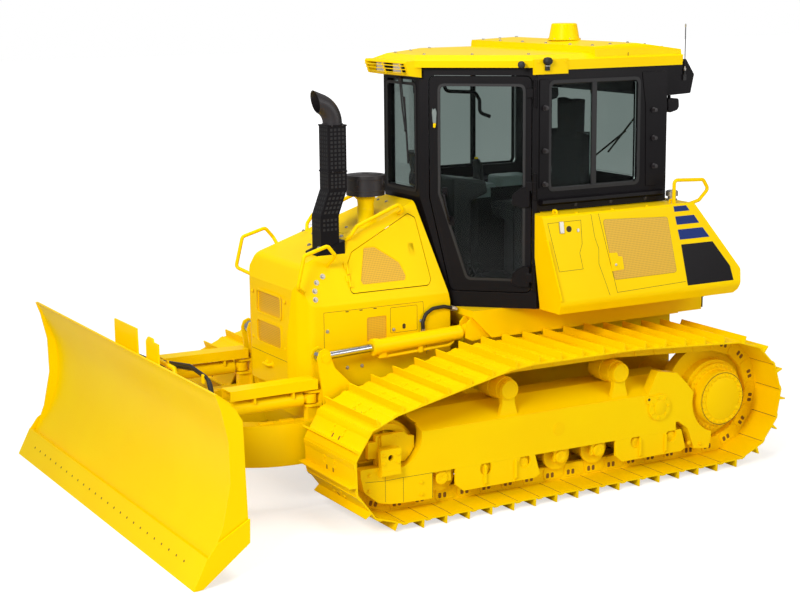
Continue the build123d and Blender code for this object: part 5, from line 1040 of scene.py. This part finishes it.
def add_roof_details():
    """Bolts, drain holes and seams of the roof."""
    heads, gaps = bmesh.new(), bmesh.new()
    for x in (-1.10, -1.25, -1.40, -1.55, -1.70):
        for y in (-0.70, 0.70):
            bolt(heads, (x, y, deck_top(x)), UP, 0.010)
    for y in (-0.45, -0.15, 0.15, 0.45):
        bolt(heads, (-1.090, y, deck_top(-1.09)), UP, 0.010)
    for x, y in ((-0.05, 0.20), (-0.05, -0.20), (-0.30, 0.42), (-0.30, -0.42), (-0.60, 0.66),
                 (-0.60, -0.66)):
        bolt(heads, (x, y, 2.9295), UP, 0.010)

    def side(a, b, c=0.0):
        return Vector((a, 0.812 - (b - 2.86) * 0.16 + c, b))
    for x, z in ((-1.193, 2.898), (-1.253, 2.897), (-1.198, 2.874), (-1.341, 2.884), (-1.371, 2.884),
                 (-1.514, 2.878)):
        turned(gaps, side(x, z, 0.0), LEFT, [(0.006, -0.01), (0.006, 0.003), (0, 0.003)], 10)
    seams(gaps, lambda a, b, c: side(a, b, c + 0.001), [[(-1.330, 2.926), (-1.325, 2.896), (-1.285, 2.891),
                                                         (-1.285, 2.866)]], 0.004, 0.001)
    for y in (-0.795, 0.795):
        seams(gaps, lambda a, b, c: Vector((a, b, deck_top(a) + c)), [[(-1.06, y * 0.5), (-1.79, y * 0.5)]],
              0.003, 0.001)
    piece("roof_bolts", heads, STEEL, "machine")
    piece("roof_gaps", gaps, GAP, "machine", mirror=True)


def add_camera_details():
    """Camera and sensor on the left bracket, and the panel behind them."""
    camera, shiny = bmesh.new(), bmesh.new()
    turned(camera, (-0.630, 0.846, 2.868), UP, [(0.012, 0), (0.026, 0.004), (0.034, 0.018), (0.034, 0.030),
                                                (0.024, 0.046), (0, 0.052)], 20)
    turned(camera, (-0.630, 0.842, 2.830), UP, [(0.018, 0), (0.018, 0.030), (0.010, 0.040), (0, 0.040)], 16)
    turned(camera, (-0.452, 0.800, 2.872), DOOR_OUT, [(0.020, -0.01), (0.026, 0.014), (0.018, 0.030),
                                                      (0, 0.034)], 16)
    slab(camera, lambda a, b, c: Vector((-0.505 + a * 0.8, 0.766 + a * -0.5 + c, 2.868 + b)),
         rectangle(-0.012, 0.012, -0.020, 0.020), 0, 0.014, 0.002)
    turned(shiny, (-0.630, 0.842, 2.858), UP, [(0.022, 0), (0.022, 0.006), (0.014, 0.010), (0, 0.010)], 16)
    piece("side_cameras", camera, RUBBER, "machine")
    piece("camera_nut", shiny, STEEL, "machine")
    panel = bmesh.new()
    slab(panel, side_plane(0.834), card(-0.800, -0.536, 2.808, 2.900, 0.006), -0.001, 0.003, 0.001)
    for x in (-0.780, -0.560):
        bolt(panel, (x, 0.836, 2.885), LEFT, 0.007)
    piece("camera_panel", panel, YELLOW, "machine")


def add_dome_details():
    """Bolts round the dome and the antenna's gland and tip."""
    base = bmesh.new()
    for k in range(6):
        turn = 2 * pi * k / 6 + 0.3
        bolt(base, (-1.353 + 0.112 * cos(turn), 0.112 * sin(turn), 2.9995), UP, 0.006, washer=False)
    piece("dome_bolts", base, STEEL, "machine")
    gland = bmesh.new()
    turned(gland, (-1.905, 0.7085, 2.780), UP, [(0.010, 0), (0.010, 0.016), (0.006, 0.022), (0.005, 0.030),
                                                (0, 0.030)], 12)
    turned(gland, (-1.905, 0.7085, 3.085), UP, [(0.0035, 0), (0.0055, 0.004), (0.0055, 0.018), (0, 0.022)],
           10)
    piece("antenna_gland", gland, STEEL, "machine")


def add_interior():
    """What shows through the panes: console tops, levers, monitor, rail, pedals, mat and mirror."""
    pad, grey, dark, tip = bmesh.new(), bmesh.new(), bmesh.new(), bmesh.new()
    shelf = rounded([(-0.62, -0.30), (-0.62, -0.56), (-1.00, -0.56), (-1.00, -0.34), (-0.72, -0.30)], 0.035,
                    4)
    slab(grey, level, shelf, 1.830, 1.925, 0.03)
    slab(grey, level, card(-1.30, -0.88, 0.335, 0.515, 0.04, 4), 1.900, 1.955, 0.015)
    slab(grey, level, card(-1.30, -1.02, -0.535, -0.335, 0.04, 4), 1.900, 1.975, 0.015)
    for y in (-0.42, 0.42):
        turned(dark, (-0.86 if y < 0 else -0.925, y, 1.922 if y < 0 else 1.952), UP,
               [(0.050, 0), (0.044, 0.020), (0.030, 0.034), (0.026, 0.052), (0.022, 0.070), (0.024, 0.110),
                (0.034, 0.150), (0.030, 0.180), (0.012, 0.192), (0, 0.192)], 16)
    turned(tip, (-0.86, -0.42, 2.108), (0.2, 0.3, 1), [(0.010, 0), (0.014, 0.008), (0.012, 0.016),
                                                       (0, 0.018)], 12)
    screen = plane((-0.33, -0.30, 2.120), (-0.5, 0.86, 0), (0.35, 0.20, 1))
    slab(dark, screen, card(-0.12, 0.12, -0.09, 0.09, 0.014, 3), -0.035, 0.0, 0.006)
    tube(dark, [(-0.36, -0.14, 1.99), (-0.33, -0.24, 2.06), (-0.31, -0.29, 2.12)], 0.012, 0.03)
    rail = [(-0.728, 2.700), (-0.760, 2.604), (-1.018, 2.586), (-1.059, 2.525), (-1.059, 2.429),
            (-1.152, 2.395)]
    tube(dark, [(a, -0.690, b) for a, b in rail], 0.014, 0.05)
    for x in (-0.45, -0.52):
        tube(dark, [(x + 0.12, 0.16, 1.262), (x, 0.16, 1.40)], 0.009)
        slab(dark, plane((x, 0.16, 1.400), LEFT, (0.4, 0, 1)), card(-0.035, 0.035, -0.04, 0.04, 0.01),
             -0.006, 0.006, 0.002)
    slab(pad, level, rounded([(-0.25, -0.45), (-0.25, 0.40), (-0.62, 0.60), (-0.80, 0.60), (-0.80, -0.60),
                              (-0.62, -0.60)], 0.03, 3), 1.2595, 1.268, 0.003)
    mirror_body = plane((-0.20, 0.0, 2.700), LEFT, (-0.25, 0, 1))
    slab(dark, mirror_body, card(-0.12, 0.12, -0.035, 0.035, 0.015, 3), -0.012, 0.0, 0.004)
    tube(dark, [(-0.195, 0, 2.735), (-0.185, 0, 2.800)], 0.006)
    face = bmesh.new()
    slab(face, screen, card(-0.105, 0.105, -0.075, 0.075, 0.008, 3), 0.0, 0.002)
    piece("monitor_screen", face, SCREEN, "machine")
    piece("console_tops", grey, PLASTIC, "machine")
    piece("cab_controls", dark, RUBBER, "machine")
    piece("lever_button", tip, YELLOW, "machine")
    piece("floor_mat", pad, RUBBER, "machine")


# ---- tanks ------------------------------------------------------------------------
def tank_side(a, b, c=0.0):
    """Leaning side of the left tank: a forwards, b height over the ground, c outwards."""
    rise = Vector((0, -0.105, 0.600))
    out = Vector((0, 0.600, 0.105)).normalized()
    return Vector((a, 1.085, 1.270)) + rise * ((b - 1.270) / 0.600) + out * c


def add_tank_details():
    out = tank_side(0, 0, 1) - tank_side(0, 0, 0)
    stripes, panel, screen, gaps, trim, steel = (bmesh.new() for _ in range(6))
    for corners in ([(-1.610, 1.856), (-1.722, 1.856), (-1.750, 1.818), (-1.615, 1.818)],
                    [(-1.617, 1.785), (-1.785, 1.785), (-1.826, 1.727), (-1.626, 1.727)],
                    [(-1.630, 1.693), (-1.852, 1.693), (-1.908, 1.622), (-1.642, 1.622)]):
        slab(stripes, tank_side, corners, -0.001, 0.0009)
    slab(panel, tank_side, [(-1.648, 1.588), (-1.930, 1.588), (-2.070, 1.404), (-2.092, 1.300),
                            (-1.676, 1.300)], -0.001, 0.0009)
    mesh_at = rounded([(-0.995, 1.812), (-1.548, 1.788), (-1.589, 1.402), (-1.051, 1.399)], 0.022, 3)
    slab(screen, tank_side, mesh_at, -0.001, 0.0012)
    door = [(-0.540, 1.820), (-0.812, 1.823), (-0.806, 1.663), (-0.780, 1.605), (-0.796, 1.496),
            (-0.600, 1.494)]
    lines = [door + door[:1], [(-0.900, 1.855), (-0.915, 1.700), (-0.940, 1.620), (-0.930, 1.520),
                               (-1.000, 1.300)], [(-0.962, 1.855), (-1.064, 1.312), (-1.660, 1.330)],
             mesh_at + mesh_at[:1]]
    seams(gaps, tank_side, lines, 0.0024, 0.0008)
    slab(gaps, tank_side, circle(-0.709, 1.771, 0.021, 24), 0, 0.0012)
    slab(steel, tank_side, card(-0.664, -0.630, 1.745, 1.825, 0.007, 3), -0.001, 0.010, 0.003)
    slab(steel, tank_side, card(-0.790, -0.772, 1.745, 1.768, 0.004), -0.001, 0.006, 0.002)
    box = rounded([(-1.020, 1.584), (-1.085, 1.582), (-1.090, 1.556), (-1.126, 1.552), (-1.134, 1.462),
                   (-1.034, 1.458)], 0.008, 3)
    slab(trim, tank_side, box, 0.0, 0.010, 0.003)
    slab(trim, tank_side, card(-1.105, -1.050, 1.480, 1.545, 0.006, 3), 0.009, 0.013, 0.002)
    turned(steel, tank_side(-1.062, 1.500, 0.013), out, [(0.009, 0), (0.009, 0.004), (0, 0.005)], 12)
    stay = [tank_side(-0.520, 1.705, -0.004), tank_side(-0.520, 1.705, 0.012),
            tank_side(-0.590, 1.300, 0.012), tank_side(-0.590, 1.300, -0.004)]
    tube(trim, stay, 0.008, 0.012)
    x, y, z = -1.740, 0.800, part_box("tank_left")[1][2]
    turned(steel, (x, y, z - 0.001), UP, [(0.040, 0), (0.040, 0.012), (0.030, 0.014), (0.030, 0.030),
                                          (0.044, 0.034), (0.044, 0.066), (0.034, 0.074), (0, 0.076)], 24)
    for x in (-0.80, -1.10, -1.40):
        bolt(trim, (x, 0.955, z), UP, 0.009)
        bolt(trim, (x, 0.700, z), UP, 0.009)
    for x in (-0.66, -1.66):
        tube(trim, [(x, 0.880, z - 0.002), (x, 0.880, z + 0.020), (x, 0.920, z + 0.020),
                    (x, 0.920, z - 0.002)], 0.008, 0.012)
    piece("tank_stripes", stripes, NAVY, "machine", mirror=True)
    piece("tank_panel", panel, BLACK, "machine", mirror=True)
    piece("tank_screen", screen, SIDE_MESH, "machine", mirror=True)
    piece("tank_gaps", gaps, GAP, "machine", mirror=True)
    piece("tank_trim", trim, YELLOW, "machine", mirror=True)
    piece("tank_fittings", steel, STEEL, "machine", mirror=True)


def add_rear_details():
    """Screen behind the rear bars, its handle, the cowl's bolts and the drawbar's pin."""
    low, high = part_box("rear_grille")
    screen = bmesh.new()
    slab(screen, rear_plane(low[0] + 0.016), card(low[1] + 0.03, high[1] - 0.03, low[2] + 0.03,
                                                  high[2] - 0.06, 0.01), 0.0, 0.002)
    piece("grille_screen", screen, GRILLE, "grille_door")
    pull = bmesh.new()
    x = low[0]
    tube(pull, [(x + 0.004, -0.06, low[2] + 0.02), (x - 0.022, -0.06, low[2] + 0.02),
                (x - 0.022, 0.06, low[2] + 0.02), (x + 0.004, 0.06, low[2] + 0.02)], 0.006, 0.012)
    piece("grille_pull", pull, RUBBER, "grille_door")
    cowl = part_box("rear_cowl")
    frame_bolts = bmesh.new()
    for y in (-0.600, 0.600):
        for z in (1.10, 1.25, 1.40):
            bolt(frame_bolts, (cowl[0][0], y, z), -FORWARD, 0.009)
    piece("cowl_bolts", frame_bolts, STEEL, "machine")
    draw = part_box("drawbar")
    pin = bmesh.new()
    px = -2.240
    turned(pin, (px, 0, draw[1][2] if draw[1][2] < 0.62 else 0.570), UP, [(0.023, -0.14), (0.023, 0.004),
                                                                          (0.034, 0.006), (0.034, 0.018),
                                                                          (0, 0.020)], 20)
    piece("drawbar_pin", pin, STEEL, "machine")
    heads = bmesh.new()
    for y in (-0.22, 0.22):
        for z in (0.40, 0.50, 0.60):
            bolt(heads, (-2.0805, y, z), -FORWARD, 0.014)
    piece("drawbar_bolts", heads, CAST, "machine")


# ---- blade and its frame --------------------------------------------------------------
def add_mouldboard_skin():
    """Smooth front sheet over the mouldboard, laid over its top strip as well."""
    radius, deepest, face = 0.774, 0.690, 2.046
    low_z, top_z, half, rows = 0.186, 1.136, 1.618, 56
    bm = bmesh.new()
    front = []
    for k in range(rows + 1):
        z = low_z + (top_z - low_z) * k / rows
        rising = min(max((z - 0.76) / 0.24, 0.0), 1.0)
        falling = min(max((z - 1.02) / 0.11, 0.0), 1.0)
        cover = 0.0125 * rising * rising * (3 - 2 * rising) * (1 - falling * falling * (3 - 2 * falling))
        x = face + radius - sqrt(radius * radius - (z - deepest) ** 2) + 0.0015 + cover
        front.append(Vector((x, 0, z)))
    back = [p - FORWARD * 0.004 for p in front]
    loop = front + back[::-1]
    prism(bm, [p - LEFT * half for p in loop], [p + LEFT * half for p in loop])
    piece("mouldboard_skin", bm, YELLOW, "dozer_blade")


def add_blade_details():
    low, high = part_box("cutting_edge")
    tip_x = high[0]
    rise = Vector((-0.0858, 0, 0.168)).normalized()
    out = Vector((rise.z, 0, -rise.x))
    bolts, trim = bmesh.new(), bmesh.new()

    def edge(a, b, c=0.0):
        """On the cutting edge: a to the left, b up from its tip, c outwards."""
        return Vector((tip_x, a, low[2])) + rise * b + out * c
    # Countersunk bolts of the cutting edge as flat dark discs: painted shade round their heads.
    for k in range(25):
        y = (k - 12) * 0.118
        slab(bolts, lambda a, b, c: edge(y + a, 0.112 + b, c), circle(0, 0, 0.008, 12), -0.002, 0.0012)
    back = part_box("blade_brackets")[0][0]
    for y, z in ((-0.18, 1.19), (0.08, 1.19), (0.36, 1.16), (0.47, 1.16)):
        bolt(trim, (back, y, z), -FORWARD, 0.011)
    tube(trim, [(1.995, 0.100, 0.995), (1.985, 0.110, 1.045), (1.985, 0.550, 1.045), (1.995, 0.560, 0.995)],
         0.016, 0.03)
    hose = bmesh.new()
    tube(hose, [(1.990, -0.300, 0.936), (1.975, -0.250, 1.000), (1.972, 0.050, 1.010),
                (1.972, 0.427, 1.060), (1.970, 0.760, 1.106),
                (1.975, 1.040, 1.088), (1.990, 1.125, 1.010), (2.010, 1.150, 0.950)], 0.011, 0.12, 10)
    tube(hose, [(1.990, -0.120, 0.936), (1.955, -0.100, 0.985), (1.950, 0.150, 0.990),
                (1.948, 0.430, 1.035), (1.946, 0.760, 1.080),
                (1.950, 1.020, 1.062), (1.970, 1.105, 0.990), (2.005, 1.125, 0.930)], 0.011, 0.12, 10)
    for y, z in ((0.427, 1.050), (1.000, 1.075)):
        slab(trim, lambda a, b, c: Vector((1.960 + c, y + a, z + b)), card(-0.016, 0.016, -0.030, 0.026,
                                                                           0.006), 0.022, 0.030, 0.001)
    piece("edge_bolts", bolts, SHADE, "dozer_blade")
    piece("blade_trim", trim, YELLOW, "dozer_blade")
    piece("tilt_hoses", hose, RUBBER, "dozer_blade")


def add_frame_details():
    """Pin caps and nipples on the push frame, and the lift cylinders' oil tubes."""
    caps = bmesh.new()
    turned(caps, (0.220, 0.608, 0.450), LEFT, [(0.060, -0.001), (0.060, 0.006), (0.052, 0.010), (0, 0.010)],
           28)
    bolt_circle(caps, (0.220, 0.617, 0.450), LEFT, 0.038, 4, 0.009, 0.8)
    tread_y = 0.540
    for x in (1.20, 1.35):
        slab(caps, lambda a, b, c: Vector((x + a, tread_y - 0.03 + b, 0.590 + c)),
             card(-0.05, 0.05, -0.022, 0.022, 0.006), -0.001, 0.008, 0.002)
    for x in (0.45, 0.62, 0.78):
        bolt(caps, (x, 0.6085, 0.560), LEFT, 0.010)
    piece("frame_pin_caps", caps, CAST, "push_frame", mirror=True)
    for side, name in ((1, "left"), (-1, "right")):
        pipe, nuts = bmesh.new(), bmesh.new()
        y = side * 0.555
        route = [(0.500, y, 0.975), (0.500, y, 0.944), (-0.020, y, 0.966), (-0.060, y, 0.990)]
        tube(pipe, route, 0.012, 0.02)
        slab(nuts, lambda a, b, c: Vector((a, y + b, c)), card(0.475, 0.535, -0.026, 0.026, 0.008), 0.945,
             0.985, 0.004)
        slab(nuts, lambda a, b, c: Vector((a, y + b, c)), card(0.190, 0.225, -0.022, 0.022, 0.006), 0.946,
             0.990, 0.003)
        turned(nuts, (0.560, y, 1.0195), (1134, 0, -48), [(0.050, -0.02), (0.058, -0.016), (0.058, 0.012),
                                                          (0.050, 0.016), (0.036, 0.018), (0.036, 0.010)],
               24)
        piece("lift_oil_tube_" + name, pipe, CAST, "lift_cylinder_" + name)
        piece("lift_fittings_" + name, nuts, CAST, "lift_cylinder_" + name)


def add_hoses():
    """Hose loops from the deck to the lift cylinders' rear ends, held at both ends by nuts."""
    y = 0.468
    front, rear = (0.128, y, 1.052), (-0.110, y, 1.200)
    path = [front, (0.132, y, 1.120), (0.110, y, 1.180), (0.050, y, 1.215), (-0.040, y, 1.220), rear]
    hose, nuts = bmesh.new(), bmesh.new()
    tube(hose, path, 0.013, 0.06, 12)
    for place, out in ((rear, (-1, 0, -0.3)), (front, UP)):
        turned(nuts, place, out, [(0.019, -0.012), (0.019, 0.012), (0.015, 0.016), (0.015, 0.030),
                                  (0, 0.030)], 6)
    piece("deck_hoses", hose, RUBBER, "machine", mirror=True)
    piece("hose_nuts", nuts, STEEL, "machine", mirror=True)


# ---- seat --------------------------------------------------------------------------------
def inflate(node, name, cap, shrink=0.985):
    """A stuffed copy of a cushion: remeshed, blown up as cloth and held within cap of its start."""
    mesh = bpy.data.meshes.new_from_object(node.evaluated_get(bpy.context.evaluated_depsgraph_get()))
    obj = bpy.data.objects.new(name, mesh)
    bpy.context.scene.collection.objects.link(obj)
    low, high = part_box(node.name)
    middle = (Vector(low) + Vector(high)) / 2
    for vert in mesh.vertices:
        vert.co = middle + (vert.co - middle) * shrink
    remesh = obj.modifiers.new("remesh", "REMESH")
    remesh.mode = "VOXEL"
    remesh.voxel_size = 0.006
    bpy.context.view_layer.update()
    solid = bpy.data.meshes.new_from_object(obj.evaluated_get(bpy.context.evaluated_depsgraph_get()))
    obj.modifiers.clear()
    obj.data = solid
    start = [v.co.copy() for v in solid.vertices]
    cloth = obj.modifiers.new("cloth", "CLOTH")
    cloth.settings.use_pressure = True
    cloth.settings.uniform_pressure_force = 4.0
    cloth.settings.effector_weights.gravity = 0.0
    cloth.point_cache.frame_start = 1
    cloth.point_cache.frame_end = 20
    for step in range(1, 21):
        bpy.context.scene.frame_set(step)
    blown = bpy.data.meshes.new_from_object(obj.evaluated_get(bpy.context.evaluated_depsgraph_get()))
    obj.modifiers.clear()
    obj.data = blown
    bpy.context.scene.frame_set(1)
    for vert, origin in zip(obj.data.vertices, start):
        move = vert.co - origin
        if move.length > cap:
            move = move.normalized() * cap
        place = origin + move
        for k in range(3):
            place[k] = min(max(place[k], low[k] - 0.004), high[k] + 0.006)
        vert.co = place
    smooth = obj.modifiers.new("smooth", "SUBSURF")
    smooth.levels = smooth.render_levels = 1
    obj.data.materials.clear()
    obj.data.materials.append(FABRIC)
    obj.data.shade_smooth()
    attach(obj, "machine")
    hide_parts(node.name)
    return obj


def add_seat():
    inflate(NODES["seat_cushion"], "seat_cushion_pad", 0.026)
    inflate(NODES["seat_back"], "seat_back_pad", 0.024)
    low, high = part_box("seat_cushion")
    seam = bmesh.new()
    z = (low[2] + high[2]) / 2
    loop = card(low[0] - 0.002, high[0] + 0.002, low[1] - 0.002, high[1] + 0.002, 0.05, 4)
    tube(seam, [Vector((a, b, z + 0.02)) for a, b in loop + loop[:1]], 0.004, 0.01, 6)
    piece("seat_piping", seam, RUBBER, "machine")


# ---- build it -----------------------------------------------------------------------------
bpy.context.scene.view_settings.view_transform = "Standard"
make_camera()
make_studio()
make_floor()
for name, node in NODES.items():
    finish_node(node, FINISH.get(name, YELLOW))
    if name in BEVELLED:
        soften(node, BEVELLED[name])
add_chain_details()
add_final_drive_details()
add_track_frame_details()
add_idler_details()
add_cover_details()
add_nose_details()
add_hood_top_details()
add_exhaust_details()
add_precleaner_details()
add_door_details()
add_cab_details()
add_windshield_details()
add_cab_rear_details()
add_lamp_details()
add_roof_details()
add_camera_details()
add_dome_details()
add_interior()
add_tank_details()
add_rear_details()
add_mouldboard_skin()
add_blade_details()
add_frame_details()
add_hoses()
add_seat()
